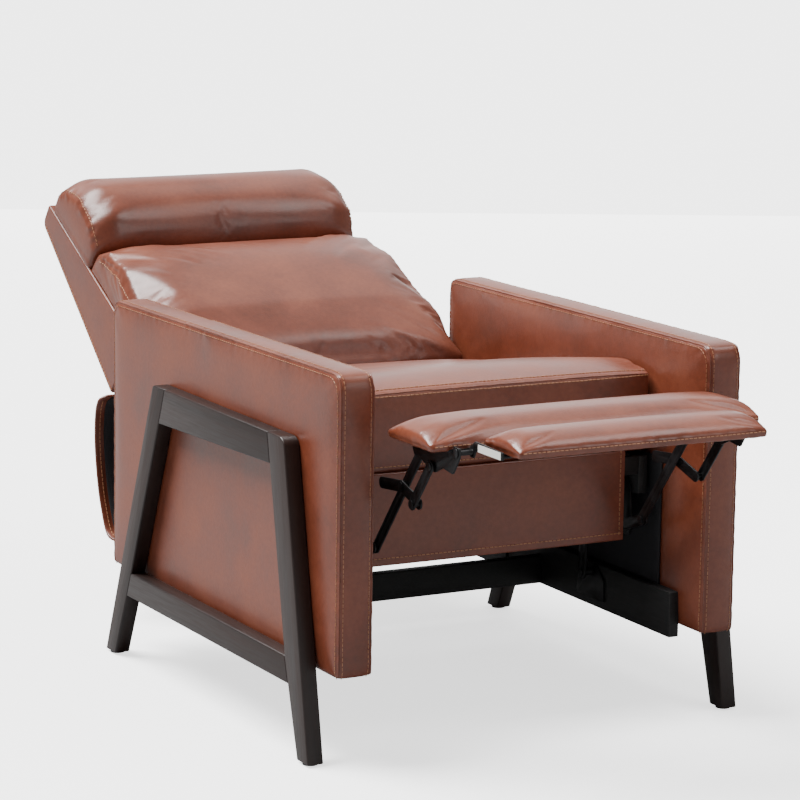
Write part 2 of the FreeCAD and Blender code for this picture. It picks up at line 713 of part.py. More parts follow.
u_high = "back_low_u + 75"
corners = [on_back(u_low, line_mid % u_low + frame_back), on_back(u_high, line_mid % u_high + frame_back),
           on_back(u_high, line_mid % u_high + " - 1"), on_back(u_low, line_mid % u_low + " - 1")]
low_rail = slab("back_rail_low", "-back_block_half", "2 * back_block_half", corners)
node(joined("back_frame_all", stiles + rails + [low_rail]), "back_frame")

webs = []
for index in range(4):
    u_text = "line_mid_u + 40 + %d" % (index * 68)
    v_text = line_high % u_text + " - 8"
    f_text, z_text = on_back(u_text, v_text)
    webs.append(disc("back_spring_%d" % index, "-(%s)" % half_inside, "2 * (%s)" % half_inside,
                     f_text, z_text, "spring_radius"))
node(group("back_spring_set", webs), "back_springs")

shell_outer = slab("back_shell_outside", "-back_half", "2 * back_half",
                   [on_back("shell_low_u", line_mid % "shell_low_u" + " - 1"),
                    on_back("shell_low_u", "shell_rear_v"),
                    on_back("back_top_u - 2", "shell_rear_v"),
                    on_back("back_top_u", "line_top_v - 1"),
                    on_back("line_mid_u", "line_mid_v - 1")],
                   rounds=[(2, "16")], rim="4")
shell_inner = slab("back_shell_inside", "-(back_half - shell_side)",
                   "2 * (back_half - shell_side)",
                   [on_back("shell_low_u - 20", line_mid % "shell_low_u" + " + 5"),
                    on_back("shell_low_u - 20", "shell_rear_v + shell_skin"),
                    on_back("back_top_u - 26", "shell_rear_v + shell_skin"),
                    on_back("back_top_u - 26", "line_top_v + 12"),
                    on_back("line_mid_u", "line_mid_v + 5")])
node(minus("back_shell_hollow", shell_outer, shell_inner), "back_shell")

node(slab("back_cushion_block", "-back_half", "2 * back_half",
          [on_back("back_low_u", "line_low_v"), on_back("line_mid_u", "line_mid_v"),
           on_back("groove_u", line_high % "groove_u"), on_back("groove_u", "groove_v"),
           on_back("groove_u - 30", "groove_v + 48"), on_back("groove_u - 110", "groove_v + 88"),
           on_back("lumbar_u", "lumbar_v"), on_back("back_low_u + 14", "cushion_v"),
           on_back("back_low_u", "cushion_v - 16")],
          rounds=[(4, "20")], rim="8"), "back_cushion")
node(slab("headrest_block", "-back_half", "2 * back_half",
          [on_back("groove_u + 1", line_high % "groove_u + 1"),
           on_back("back_top_u", "line_top_v"), on_back("back_top_u + 2", "line_top_v + 44"),
           on_back("back_top_u - 22", "line_top_v + 92"),
           on_back("back_top_u - 80", "groove_v + 40"), on_back("groove_u + 44", "groove_v + 50"),
           on_back("groove_u + 10", "groove_v + 22")],
          rounds=[(2, "18"), (3, "24"), (4, "24"), (5, "16")], rim="8"), "headrest")

hinge_plates = []
for side_name, side in SIDES:
    corners = [on_back("back_low_u + 5", "-26"), on_back("back_low_u + 75", "-26"),
               on_back("back_low_u + 75", "24"), on_back("back_low_u + 20", "cushion_v - 26"),
               on_back("back_low_u + 6", "cushion_v - 22"), on_back("back_low_u - 18", "cushion_v - 26"),
               on_back("back_low_u - 18", "cushion_v - 50")]
    plate = slab("%s_hinge_flat" % side_name, paired(side, "back_block_half", "hinge_plate_thick"),
                 "hinge_plate_thick", corners,
                 holes=[(back_pivot[0], back_pivot[1], "pin_radius + 1 + pin_fit")],
                 rounds=[(3, "8"), (5, "8")])
    hinge_plates.append(plate)
node(group("hinge_plate_set", hinge_plates), "back_hinge_plates")

# ---------------------------------------------------------------- rear skirt
SKIRT = [("0", "0"), ("-19", "-31"), ("-23", "-89"), ("-12", "-155"), ("5", "-204"),
         ("32", "-246"), ("82", "-255")]


def skirt_line(inset):
    """The skirt's side profile, moved inward by inset."""
    shift = [(0.3, -0.9), (0.9, -0.35), (1.0, 0.0), (1.0, 0.2), (0.9, 0.45), (0.5, 0.9), (0.0, 1.0)]
    line = []
    for (f_step, z_step), (f_in, z_in) in zip(SKIRT, shift):
        line.append(("-skirt_hinge_f + %s + %s * (%s)" % (f_step, f_in, inset),
                     "skirt_hinge_z + %s + %s * (%s)" % (z_step, z_in, inset)))
    return line


outer_line = skirt_line("0")
middle_line = skirt_line("skirt_thick")
inner_line = skirt_line("skirt_thick + lining_thick")
skirt_panel = slab("rear_skirt_panel", "-skirt_half", "2 * skirt_half",
                   outer_line + list(reversed(middle_line)))
skirt_rod = disc("rear_skirt_rod", "-skirt_half + 6", "2 * skirt_half - 12",
                 "-skirt_hinge_f", "skirt_hinge_z", "skirt_thick / 2")
node(joined("rear_skirt_whole", [skirt_panel, skirt_rod]), "rear_skirt")
node(slab("skirt_lining_sheet", "-skirt_half + 4", "2 * skirt_half - 8",
          middle_line + list(reversed(inner_line))), "skirt_lining")

# ------------------------------------------------------------ footrest linkage
knee = ("knee_f", "knee_z")
cross_point = ("knee_f + long_lower * cos(long_lean)", "knee_z + long_lower * sin(long_lean)")
long_top = ("knee_f + (long_lower + long_upper) * cos(long_lean)",
            "knee_z + (long_lower + long_upper) * sin(long_lean)")
cross_tip = (cross_point[0] + " + cross_front_f", cross_point[1] + " + cross_front_z")
cross_tail = (cross_point[0] + " + cross_back_f", cross_point[1] + " + cross_back_z")
short_top = (long_top[0] + " + cross_front_f", long_top[1] + " + cross_front_z")
flip_hinge = ("flip_hinge_f", "flip_hinge_z")
for side_name, side in SIDES:
    link("%s_rear_link" % side_name, side, "layer_cross", [rear_pivot, knee],
         studs=[(knee, "layer_long - 0.4", "layer_cross + link_thick", -1)],
         eyes=[(rear_pivot, "pin_fit")])
    link("%s_long_link" % side_name, side, "layer_long", [knee, cross_point, long_top],
         studs=[(cross_point, "layer_long", "layer_cross + link_thick + 0.4", 1)],
         eyes=[(knee, "pin_fit"), (long_top, "pin_fit" if side > 0 else "pin_open")])
    link("%s_cross_link" % side_name, side, "layer_cross", [cross_tail, cross_point, cross_tip],
         studs=[(cross_tip, "layer_cross", "layer_swing + link_thick + 0.4", 1)],
         eyes=[(cross_point, "pin_fit")])
    link("%s_short_link" % side_name, side, "layer_swing", [cross_tip, short_top],
         eyes=[(cross_tip, "pin_fit"), (short_top, "pin_open")])

# --------------------------------------------------------------- footrest pads
for side_name, side in SIDES:
    label = "%s_ottoman_bracket" % side_name
    x_text = paired(side, "layer_bracket", "link_thick")
    corners = [(long_top[0] + " - 9", long_top[1]), (long_top[0] + " - 3", long_top[1] + " - 9"),
               (long_top[0] + " + 8", long_top[1] + " - 8"),
               (short_top[0] + " - 7", short_top[1] + " - 7"),
               (short_top[0] + " + 6", short_top[1] + " - 8"), ("545", "480"), ("574", "476"),
               ("flip_hinge_f + 9", "flip_hinge_z - 6"), ("flip_hinge_f + 9", "flip_hinge_z + 8"),
               ("ottoman_front + 1", "flip_hinge_z + 9"), ("ottoman_front + 1", "ottoman_board_z"),
               (long_top[0] + " - 9", "ottoman_board_z")]
    flat = slab(label + "_flat", x_text, "link_thick", corners, rounds=[(6, "5")],
                holes=[(flip_hinge[0], flip_hinge[1], "pin_radius + pin_fit")])
    rods = [flat]
    for index, (pivot, inner, outer, headed) in enumerate((
            (long_top, "layer_long - 0.4", "layer_bracket + 1", -1),
            (short_top, "layer_bracket + 1", "layer_swing + link_thick + 0.4", 1))):
        long_text = "(%s) - (%s)" % (outer, inner)
        rods.append(disc("%s_stud%d" % (label, index), paired(side, inner, long_text), long_text,
                         pivot[0], pivot[1], "pin_radius"))
        base = outer if headed > 0 else "(%s) - head_high" % inner
        rods.append(disc("%s_head%d" % (label, index), paired(side, base, "head_high"),
                         "head_high", pivot[0], pivot[1], "head_radius"))
    node(joined(label + "_all", rods), label)
node(slab("ottoman_board_slab", "-ottoman_half + 30", "2 * ottoman_half - 60",
          [("ottoman_rear + 14", "ottoman_board_z"), ("ottoman_front - 2", "ottoman_board_z"),
           ("ottoman_front - 2", "ottoman_board_z + ottoman_board_thick"),
           ("ottoman_rear + 14", "ottoman_board_z + ottoman_board_thick")]), "ottoman_board")
node(slab("ottoman_pad_block", "-ottoman_half", "2 * ottoman_half",
          [("ottoman_rear", "ottoman_board_z + ottoman_board_thick"),
           ("ottoman_front", "ottoman_board_z + ottoman_board_thick"),
           ("ottoman_front", "ottoman_top"), ("ottoman_rear", "ottoman_top")],
          rounds=[(2, "14"), (3, "14")], rim="6"), "ottoman_pad")
node(slab("flipper_board_slab", "-flip_half + 10", "2 * flip_half - 20",
          [("flip_rear + 4", "flip_board_z"), ("flip_front - 12", "flip_board_z"),
           ("flip_front - 12", "flip_board_z + flip_board_thick"),
           ("flip_rear + 4", "flip_board_z + flip_board_thick")]), "flipper_board")
node(slab("flipper_pad_block", "-flip_half", "2 * flip_half",
          [("flip_rear", "flip_board_z + flip_board_thick"),
           ("flip_front", "flip_board_z + flip_board_thick"),
           ("flip_front", "flip_top"), ("flip_rear", "flip_top")],
          rounds=[(2, "14"), (3, "12")], rim="6"), "flipper_pad")
flip_plates = []
for side_name, side in SIDES:
    x_text = paired(side, "flip_plate_inner", "link_thick")
    corners = [("flip_hinge_f - 8", "flip_hinge_z + 6"), ("flip_hinge_f - 8", "flip_hinge_z - 8"),
               ("flip_hinge_f + 4", "flip_hinge_z - 8"), ("flip_hinge_f + 10", "flip_board_z - 4"),
               ("flip_front - 30", "flip_board_z - 4"),
               ("flip_front - 30", "flip_board_z + 8"), ("flip_hinge_f + 8", "flip_board_z + 10")]
    flat = slab("%s_flip_flat" % side_name, x_text, "link_thick", corners,
                rounds=[(0, "5"), (1, "5"), (4, "3")])
    reach = "layer_bracket + link_thick + 0.4 - flip_plate_inner"
    stud = disc("%s_flip_stud" % side_name, paired(side, "flip_plate_inner", reach), reach,
                flip_hinge[0], flip_hinge[1], "pin_radius")
    head = disc("%s_flip_head" % side_name,
                paired(side, "layer_bracket + link_thick + 0.4", "head_high"), "head_high",
                flip_hinge[0], flip_hinge[1], "head_radius")
    tab_wide = "flip_plate_inner - flip_half + 10"
    tab = block("%s_flip_tab" % side_name, paired(side, "flip_half - 10", tab_wide),
                "flip_front - 40", "flip_board_z - link_thick",
                (tab_wide, "60", "link_thick"))
    flip_plates.append(joined("%s_flip_plate" % side_name, [flat, stud, head, tab]))
node(group("flip_plate_set", flip_plates), "flipper_plates")
label_x = paired(-1, "flip_plate_inner + link_thick", "0.4")
node(block("label_sheet", label_x, "flip_hinge_f + 84", "flip_board_z - 3.5",
           ("0.4", "66", "11")), "blank_label")

# --------------------------------------------------------------------- export
doc.recompute()
bad = [item.Name for item in doc.Objects if "Invalid" in item.State or "Error" in item.State]
if bad:
    raise RuntimeError("failed objects: %s" % ", ".join(bad))
os.makedirs("parts", exist_ok=True)
for old in os.listdir("parts"):
    if old.endswith(".step"):
        os.remove(os.path.join("parts", old))
whole = FreeCAD.BoundBox()
for item in nodes:
    shape = item.Shape
    if shape.isNull() or not shape.isValid():
        raise RuntimeError("bad shape: %s" % item.Label)
    whole.add(shape.BoundBox)
    shape.exportStep("parts/%s.step" % item.Label)
    print("%-24s solids %d  volume %.0f" % (item.Label, len(shape.Solids), shape.Volume))
print("nodes", len(nodes))
print("box", whole)
print("middle", whole.Center)
print("rear pivot", y_of("rear_pivot_f"))
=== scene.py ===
"""Looks of the recliner armchair, built round its CAD frame."""

import json
import logging
import math
from dataclasses import dataclass, field
from enum import Enum
from typing import Callable, Optional, Sequence

import bmesh
import bpy
import numpy as np
from mathutils import Euler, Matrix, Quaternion, Vector
from mathutils.bvhtree import BVHTree

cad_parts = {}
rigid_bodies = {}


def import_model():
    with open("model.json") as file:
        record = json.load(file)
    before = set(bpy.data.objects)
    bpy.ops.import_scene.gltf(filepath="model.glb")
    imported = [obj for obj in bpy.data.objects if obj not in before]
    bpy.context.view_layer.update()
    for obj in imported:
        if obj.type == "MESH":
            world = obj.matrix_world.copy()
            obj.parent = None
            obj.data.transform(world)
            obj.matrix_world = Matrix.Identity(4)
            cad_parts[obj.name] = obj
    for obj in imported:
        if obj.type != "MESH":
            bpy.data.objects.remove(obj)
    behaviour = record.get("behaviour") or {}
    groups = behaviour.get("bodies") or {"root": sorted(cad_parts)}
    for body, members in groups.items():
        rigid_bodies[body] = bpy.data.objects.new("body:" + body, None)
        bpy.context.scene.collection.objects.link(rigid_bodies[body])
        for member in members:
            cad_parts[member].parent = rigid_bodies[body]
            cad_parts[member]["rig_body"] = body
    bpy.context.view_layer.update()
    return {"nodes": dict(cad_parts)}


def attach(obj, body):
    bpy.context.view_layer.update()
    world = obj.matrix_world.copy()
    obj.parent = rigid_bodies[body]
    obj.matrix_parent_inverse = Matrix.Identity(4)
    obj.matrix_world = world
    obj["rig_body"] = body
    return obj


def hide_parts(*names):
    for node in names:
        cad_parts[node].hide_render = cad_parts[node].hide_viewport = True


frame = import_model()
log = logging.getLogger("recliner")

Point = tuple[float, float]
MM = 0.001
BACK_SHIFT = 127.641   # from the legs' middle to the middle of the whole length, mm
SIDES = (("left", 1), ("right", -1))
LEAN = 40.0            # the reclined back's angle from level, degrees
LEAN_COS, LEAN_SIN = 0.766, 0.643   # its cosine and sine, rounded
CLOTH_STEPS = 20
CREASE = 0.0032         # half width of the dip along a seam, m
PUCKER_REACH = 0.011    # how far puckers run out from a seam, m
PUCKER_PITCH = 0.0042   # their spacing over two pi, m
PUCKER_SWAY = 0.031     # how slowly that spacing wanders, m
PUCKER_GROUP = 0.019    # how slowly their height comes and goes, m


# --------------------------------------------------------------------- helpers
def place(x: float, f: float, z: float) -> Vector:
    """Turn millimetres across, forward and up into the chair's own metres.

    Args:
        x: distance to the sitter's left of the middle.
        f: distance in front of the legs' middle.
        z: height above the floor.

    Returns:
        The point in metres in the CAD frame.
    """
    return Vector((x * MM, (-f - BACK_SHIFT) * MM, z * MM))


def forward_of(point: Vector) -> float:
    """How far a point in metres stands in front of the legs' middle, in millimetres."""
    return -point.y / MM - BACK_SHIFT


def on_back(u: float, v: float) -> Point:
    """A point u up the reclined back and v out of its front, as (f, z)."""
    c, s = math.cos(math.radians(LEAN)), math.sin(math.radians(LEAN))
    return (-c * u + s * v, s * u + c * v)


def back_line(*spots: Point) -> list[Point]:
    """Points up and out of the back, as a side-view line."""
    return [on_back(u, v) for u, v in spots]


def rounded(corners: Sequence[tuple], steps: int = 6) -> list[Point]:
    """Round the corners of a closed side outline.

    Args:
        corners: (f, z, radius) of each corner, in millimetres.
        steps: points along each rounded corner.

    Returns:
        The rounded outline as (f, z) points.
    """
    out: list[Point] = []
    count = len(corners)
    for i, (f, z, radius) in enumerate(corners):
        here = Vector((f, z))
        if radius <= 0:
            out.append((f, z))
            continue
        before = Vector(corners[i - 1][:2]) - here
        after = Vector(corners[(i + 1) % count][:2]) - here
        half = before.angle(after) / 2
        reach = min(radius / math.tan(half), before.length * 0.48, after.length * 0.48)
        start, end = here + before.normalized() * reach, here + after.normalized() * reach
        for k in range(steps + 1):
            t = k / steps
            spot = start * (1 - t) ** 2 + here * 2 * t * (1 - t) + end * t ** 2
            out.append((spot.x, spot.y))
    return out


def new_object(name: str, data: bpy.types.ID) -> bpy.types.Object:
    """Put a mesh, a lamp or a camera into the scene under this name."""
    obj = bpy.data.objects.new(name, data)
    bpy.context.scene.collection.objects.link(obj)
    return obj


def from_bmesh(name: str, bm: bmesh.types.BMesh) -> bpy.types.Object:
    """Turn a bmesh with its normals outward into an object."""
    bmesh.ops.recalc_face_normals(bm, faces=bm.faces)
    mesh = bpy.data.meshes.new(name)
    bm.to_mesh(mesh)
    bm.free()
    return new_object(name, mesh)


def settle(obj: bpy.types.Object) -> bpy.types.Object:
    """Apply every modifier of an object into its mesh."""
    bpy.context.view_layer.update()
    graph = bpy.context.evaluated_depsgraph_get()
    mesh = bpy.data.meshes.new_from_object(obj.evaluated_get(graph))
    obj.modifiers.clear()
    old = obj.data
    obj.data = mesh
    bpy.data.meshes.remove(old)
    return obj


def smooth(obj: bpy.types.Object, angle: Optional[float] = None) -> None:
    """Shade smooth, keeping edges sharper than angle degrees where it is given."""
    obj.data.shade_smooth()
    if angle is not None:
        obj.data.set_sharp_from_angle(angle=math.radians(angle))


def dress(obj: bpy.types.Object, material: bpy.types.Material) -> None:
    """Give an object this one material."""
    obj.data.materials.clear()
    obj.data.materials.append(material)


def mount(piece: bpy.types.Object, body: str, slot: str, *nodes: str) -> bpy.types.Object:
    """Fix a piece to its body and hide the CAD nodes that it stands for.

    Args:
        piece: the finished piece.
        body: the CAD body that it rides on.
        slot: the record's material slot; not used.
        nodes: the CAD nodes that it replaces, if any.

    Returns:
        The piece.
    """
    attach(piece, body)
    if nodes:
        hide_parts(*nodes)
    return piece


def cad_copy(node: str, name: str) -> bpy.types.Object:
    """A welded copy of a CAD node with its flat faces joined up.

    Args:
        node: the CAD node's name.
        name: the new object's name.

    Returns:
        The copy, still in the CAD frame.
    """
    bm = bmesh.new()
    bm.from_mesh(frame["nodes"][node].data)
    bmesh.ops.remove_doubles(bm, verts=bm.verts, dist=2e-5)
    bmesh.ops.dissolve_limit(bm, angle_limit=math.radians(0.6), verts=bm.verts,
                             edges=bm.edges, delimit=set())
    mesh = bpy.data.meshes.new(name)
    bm.to_mesh(mesh)
    bm.free()
    return new_object(name, mesh)


def bevel(obj: bpy.types.Object, width: float, segments: int = 3, angle: float = 25.0) -> None:
    """Round an object's edges by width millimetres and apply it."""
    mod = obj.modifiers.new("edges", "BEVEL")
    mod.width = width * MM
    mod.segments = segments
    mod.limit_method = "ANGLE"
    mod.angle_limit = math.radians(angle)
    mod.use_clamp_overlap = True
    mod.harden_normals = False
    settle(obj)


# -------------------------------------------------------------------- finishes
def srgb(code: str) -> tuple[float, float, float, float]:
    """Turn an sRGB hex colour into linear red, green, blue and alpha."""
    parts = [int(code[i:i + 2], 16) / 255 for i in (1, 3, 5)]
    linear = [c / 12.92 if c <= 0.04045 else ((c + 0.055) / 1.055) ** 2.4 for c in parts]
    return (linear[0], linear[1], linear[2], 1.0)


def add_node(tree: bpy.types.NodeTree, kind: str, settings: Optional[dict] = None,
             links: Optional[dict] = None) -> bpy.types.Node:
    """Add a node with its settings and links.

    Args:
        tree: the node tree it goes in.
        kind: the node's type name.
        settings: attributes, and input values where the key is an input's name or number.
        links: input name or number to the output socket that feeds it.

    Returns:
        The new node.
    """
    made = tree.nodes.new(kind)
    for key, value in (settings or {}).items():
        if isinstance(key, int) or (key in made.inputs and not hasattr(made, str(key))):
            made.inputs[key].default_value = value
        else:
            setattr(made, key, value)
    for key, socket in (links or {}).items():
        tree.links.new(socket, made.inputs[key])
    return made


def noise(tree: bpy.types.NodeTree, spot: bpy.types.NodeSocket, scale: float, detail: float,
          **more: float) -> bpy.types.NodeSocket:
    """A noise texture's grey output.

    Args:
        tree: the material's node tree.
        spot: the coordinates that it is read at.
        scale: its scale.
        detail: its octaves.
        more: any other inputs by name.

    Returns:
        The grey socket.
    """
    made = add_node(tree, "ShaderNodeTexNoise", {"Scale": scale, "Detail": detail, **more},
                    {"Vector": spot})
    return made.outputs["Fac"]


@dataclass(frozen=True)
class Finish:
    """What all finishes share: a name, a Principled shader and the usual chains of nodes."""

    name: str

    def start(self) -> tuple[bpy.types.Material, bpy.types.NodeTree, bpy.types.NodeSocket]:
        """Make the material and return it with its tree and the object coordinates."""
        material = bpy.data.materials.new(self.name)
        material.use_nodes = True
        tree = material.node_tree
        where = add_node(tree, "ShaderNodeTexCoord")
        return material, tree, where.outputs["Object"]

    def feed(self, tree: bpy.types.NodeTree, label: str, socket: bpy.types.NodeSocket) -> None:
        """Link a socket to the shader's input of this label."""
        tree.links.new(socket, tree.nodes["Principled BSDF"].inputs[label])

    def fix(self, tree: bpy.types.NodeTree, values: dict[str, float]) -> None:
        """Set the shader's inputs by name."""
        for label, value in values.items():
            tree.nodes["Principled BSDF"].inputs[label].default_value = value

    def tint(self, tree: bpy.types.NodeTree, grey: bpy.types.NodeSocket,
             *stops: tuple[float, str]) -> None:
        """Colour the shader through a ramp: first and last stop, then those in between.

        Args:
            tree: the material's node tree.
            grey: the socket that drives the ramp.
            stops: each stop's position and sRGB hex colour.
        """
        ramp = add_node(tree, "ShaderNodeValToRGB", None, {"Fac": grey})
        marks = ramp.color_ramp.elements
        for index, (position, code) in enumerate(stops):
            mark = marks[index] if index < 2 else marks.new(position)
            mark.position = position
            mark.color = srgb(code)
        self.feed(tree, "Base Color", ramp.outputs["Color"])

    def relieve(self, tree: bpy.types.NodeTree, height: bpy.types.NodeSocket, strength: float,
                distance: float) -> None:
        """Bump the shader by a height, up to distance metres deep."""
        bump = add_node(tree, "ShaderNodeBump", {"Strength": strength, "Distance": distance},
                        {"Height": height})
        self.feed(tree, "Normal", bump.outputs["Normal"])

    def dull(self, tree: bpy.types.NodeTree, grey: bpy.types.NodeSocket, top: float, low: float,
             high: float) -> None:
        """Vary the roughness from low to high as grey goes from 0.3 to top."""
        rough = add_node(tree, "ShaderNodeMapRange", {1: 0.3, 2: top, 3: low, 4: high}, {0: grey})
        self.feed(tree, "Roughness", rough.outputs[0])


@dataclass(frozen=True)
class PullUpLeather(Finish):
    """Semi-aniline cow hide, drum dyed, waxed and lightly plated: pebbled, soft sheen."""

    deep: str = "#5a2a19"
    warm: str = "#6b3320"
    pale: str = "#7b402a"
    grain_mm: float = 2.2      # real hide is nearer 1 mm; drawn coarser so that it shows
    crease_mm: float = 26.0
    roughness: float = 0.39
    bump: float = 0.13

    def material(self) -> bpy.types.Material:
        """Build the leather: mottled dye, fine pebbles, long soft creases."""
        material, tree, spot = self.start()
        cloud = noise(tree, spot, 9.0, 4.0, Roughness=0.55)
        mix = add_node(tree, "ShaderNodeMath", {"operation": "MULTIPLY_ADD", 1: 0.35},
                       {0: noise(tree, spot, 140.0, 3.0), 2: cloud})
        self.tint(tree, mix.outputs[0], (0.42, self.deep), (0.92, self.pale), (0.64, self.warm))
        pebble = add_node(tree, "ShaderNodeTexVoronoi",
                          {"feature": "SMOOTH_F1", "Scale": 1000 / self.grain_mm,
                           "Smoothness": 0.7}, {"Vector": spot})
        crease = noise(tree, spot, 1000 / self.crease_mm, 5.0, Distortion=0.7)
        relief = add_node(tree, "ShaderNodeMath", {"operation": "MULTIPLY_ADD", 1: 0.55},
                          {0: pebble.outputs["Distance"], 2: crease})
        self.relieve(tree, relief.outputs[0], self.bump, 0.0016)
        self.dull(tree, cloud, 0.75, self.roughness - 0.06, self.roughness + 0.09)
        self.fix(tree, {"IOR": 1.5, "Coat Weight": 0.18, "Coat Roughness": 0.28})
        return material


@dataclass(frozen=True)
class StainedWood(Finish):
    """Rubberwood, planed, stained espresso and sprayed with satin lacquer."""

    dark: str = "#120806"
    light: str = "#25140f"
    grain_mm: float = 3.0
    along: Vector = field(default_factory=lambda: Vector((0.0, 0.0, 1.0)))

    def material(self) -> bpy.types.Material:
        """Build the wood: thin stretched grain under a satin coat."""
        material, tree, spot = self.start()
        turn = self.along.rotation_difference(Vector((0, 0, 1))).to_euler()
        line_up = add_node(tree, "ShaderNodeMapping", {"Rotation": turn}, {"Vector": spot})
        squeeze = add_node(tree, "ShaderNodeMapping", {"Scale": (1.0, 1.0, 0.045)},
                           {"Vector": line_up.outputs[0]})
        grain = noise(tree, squeeze.outputs[0], 1000 / self.grain_mm, 5.0, Roughness=0.62)
        both = add_node(tree, "ShaderNodeMath", {"operation": "MULTIPLY_ADD", 1: 0.6},
                        {0: grain, 2: noise(tree, squeeze.outputs[0], 30.0, 2.0)})
        self.tint(tree, both.outputs[0], (0.55, self.dark), (1.0, self.light))
        self.relieve(tree, grain, 0.12, 0.0006)
        self.dull(tree, grain, 0.7, 0.36, 0.48)
        self.fix(tree, {"IOR": 1.5})
        return material


@dataclass(frozen=True)
class PaintedSteel(Finish):
    """Pressed mild steel strip, powder coated or oiled: faint orange peel, dull gloss."""

    colour: str = "#141415"
    worn: str = "#2b2b2d"
    roughness: float = 0.36
    metallic: float = 0.55

    def material(self) -> bpy.types.Material:
        """Build the steel with a slightly uneven coat."""
        material, tree, spot = self.start()
        patch = noise(tree, spot, 45.0, 5.0)
        self.tint(tree, patch, (0.4, self.colour), (0.8, self.worn))
        self.relieve(tree, noise(tree, spot, 700.0, 2.0), 0.1, 0.0003)
        self.dull(tree, patch, 0.7, self.roughness - 0.05, self.roughness + 0.1)
        self.fix(tree, {"Metallic": self.metallic})
        return material


@dataclass(frozen=True)
class WovenCloth(Finish):
    """Plain-woven or spun-bonded lining: crossed threads, matt."""

    colour: str = "#121214"
    thread: str = "#222226"
    pitch_mm: float = 1.6      # real lining is finer; drawn coarser so that it shows
    roughness: float = 0.9

    def material(self) -> bpy.types.Material:
        """Build the cloth from two crossed thread waves."""
        material, tree, spot = self.start()
        waves = []
        for turn in (0.0, math.pi / 2):
            aim = add_node(tree, "ShaderNodeMapping", {"Rotation": Euler((turn, turn, turn))},
                           {"Vector": spot})
            waves.append(add_node(tree, "ShaderNodeTexWave",
                                  {"Scale": 1000 / self.pitch_mm / 6.283, "Distortion": 0.6},
                                  {"Vector": aim.outputs[0]}))
        weave = add_node(tree, "ShaderNodeMath", {"operation": "MAXIMUM"},
                         {0: waves[0].outputs["Fac"], 1: waves[1].outputs["Fac"]})
        self.tint(tree, weave.outputs[0], (0.0, self.colour), (1.0, self.thread))
        self.relieve(tree, weave.outputs[0], 0.35, 0.0005)
        self.fix(tree, {"Roughness": self.roughness})
        return material


@dataclass(frozen=True)
class PaintedBoard(Finish):
    """Plywood or pine board, sawn and rolled with thin paint: fibres still show."""

    colour: str = "#0b0b0c"
    fibre: str = "#1b1a1a"
    fibre_mm: float = 2.5
    roughness: float = 0.62

    def material(self) -> bpy.types.Material:
        """Build the board with long fibres along the chair."""
        material, tree, spot = self.start()
        squeeze = add_node(tree, "ShaderNodeMapping", {"Scale": (0.5, 0.06, 1.0)},
                           {"Vector": spot})
        grain = noise(tree, squeeze.outputs[0], 1000 / self.fibre_mm, 6.0)
        self.tint(tree, grain, (0.35, self.colour), (0.75, self.fibre))
        self.relieve(tree, grain, 0.25, 0.0008)
        self.fix(tree, {"Roughness": self.roughness})
        return material


@dataclass(frozen=True)
class SewingThread(Finish):
    """Bonded polyester upholstery thread: twisted, a little shiny."""

    colour: str = "#8d5a3e"
    ply: str = "#b98562"

    def material(self) -> bpy.types.Material:
        """Build the thread with a fine twist."""
        material, tree, spot = self.start()
        self.tint(tree, noise(tree, spot, 900.0, 1.0), (0.35, self.colour), (0.7, self.ply))
        self.fix(tree, {"Roughness": 0.5})
        return material


class Leather(Enum):
    """The hides used on the chair."""

    COVER = PullUpLeather("waxed pull-up leather")
    PAD = PullUpLeather("waxed pull-up leather on pads", roughness=0.33)


@dataclass
class Wardrobe:
    """Every material of the chair, made once."""

    made: dict[str, bpy.types.Material] = field(default_factory=dict)

    def get(self, finish: Finish) -> bpy.types.Material:
        """The material of a finish, made the first time it is asked for."""
        if finish.name not in self.made:
            self.made[finish.name] = finish.material()
        return self.made[finish.name]


WARDROBE = Wardrobe()
STEEL = PaintedSteel("black coated steel")
RIVET = PaintedSteel("bare spring steel", colour="#5c5c60", worn="#8a8a8e", metallic=1.0)
LINING = WovenCloth("black spun-bonded lining")
PAPER = WovenCloth("white printed-cloth blank", colour="#cfcdc6", thread="#e4e2dc", pitch_mm=0.8,
                   roughness=0.8)
BLACK_BOARD = PaintedBoard("black painted plywood")
RAW_BOARD = PaintedBoard("raw pine board", colour="#9c7a4e", fibre="#c7a673", roughness=0.7)
PLASTIC = PaintedSteel("black moulded polypropylene", metallic=0.0, roughness=0.55)
THREAD = SewingThread("russet bonded thread")
HARD_SLOTS = {STEEL.name: "black_steel", BLACK_BOARD.name: "black_board",
              PLASTIC.name: "black_plastic"}


# ---------------------------------------------------------------- sewn details
def sewing_tree(name: str, inputs: dict[str, float]) -> tuple[
        bpy.types.NodeTree, bpy.types.Node, bpy.types.NodeSocket]:
    """Start a Geometry Nodes tree that works along the lines of a mesh.

    Args:
        name: the tree's name.
        inputs: its named measures with their defaults, in metres.

    Returns:
        The tree, its input node and the curves' socket.
    """
    tree = bpy.data.node_groups.new(name, "GeometryNodeTree")
    face = tree.interface
    face.new_socket("Geometry", in_out="INPUT", socket_type="NodeSocketGeometry")
    for label, value in inputs.items():
        made = face.new_socket(label, in_out="INPUT", socket_type="NodeSocketFloat")
        made.default_value = value
    face.new_socket("Geometry", in_out="OUTPUT", socket_type="NodeSocketGeometry")
    start = add_node(tree, "NodeGroupInput")
    lines = add_node(tree, "GeometryNodeMeshToCurve", None, {0: start.outputs["Geometry"]})
    return tree, start, lines.outputs[0]


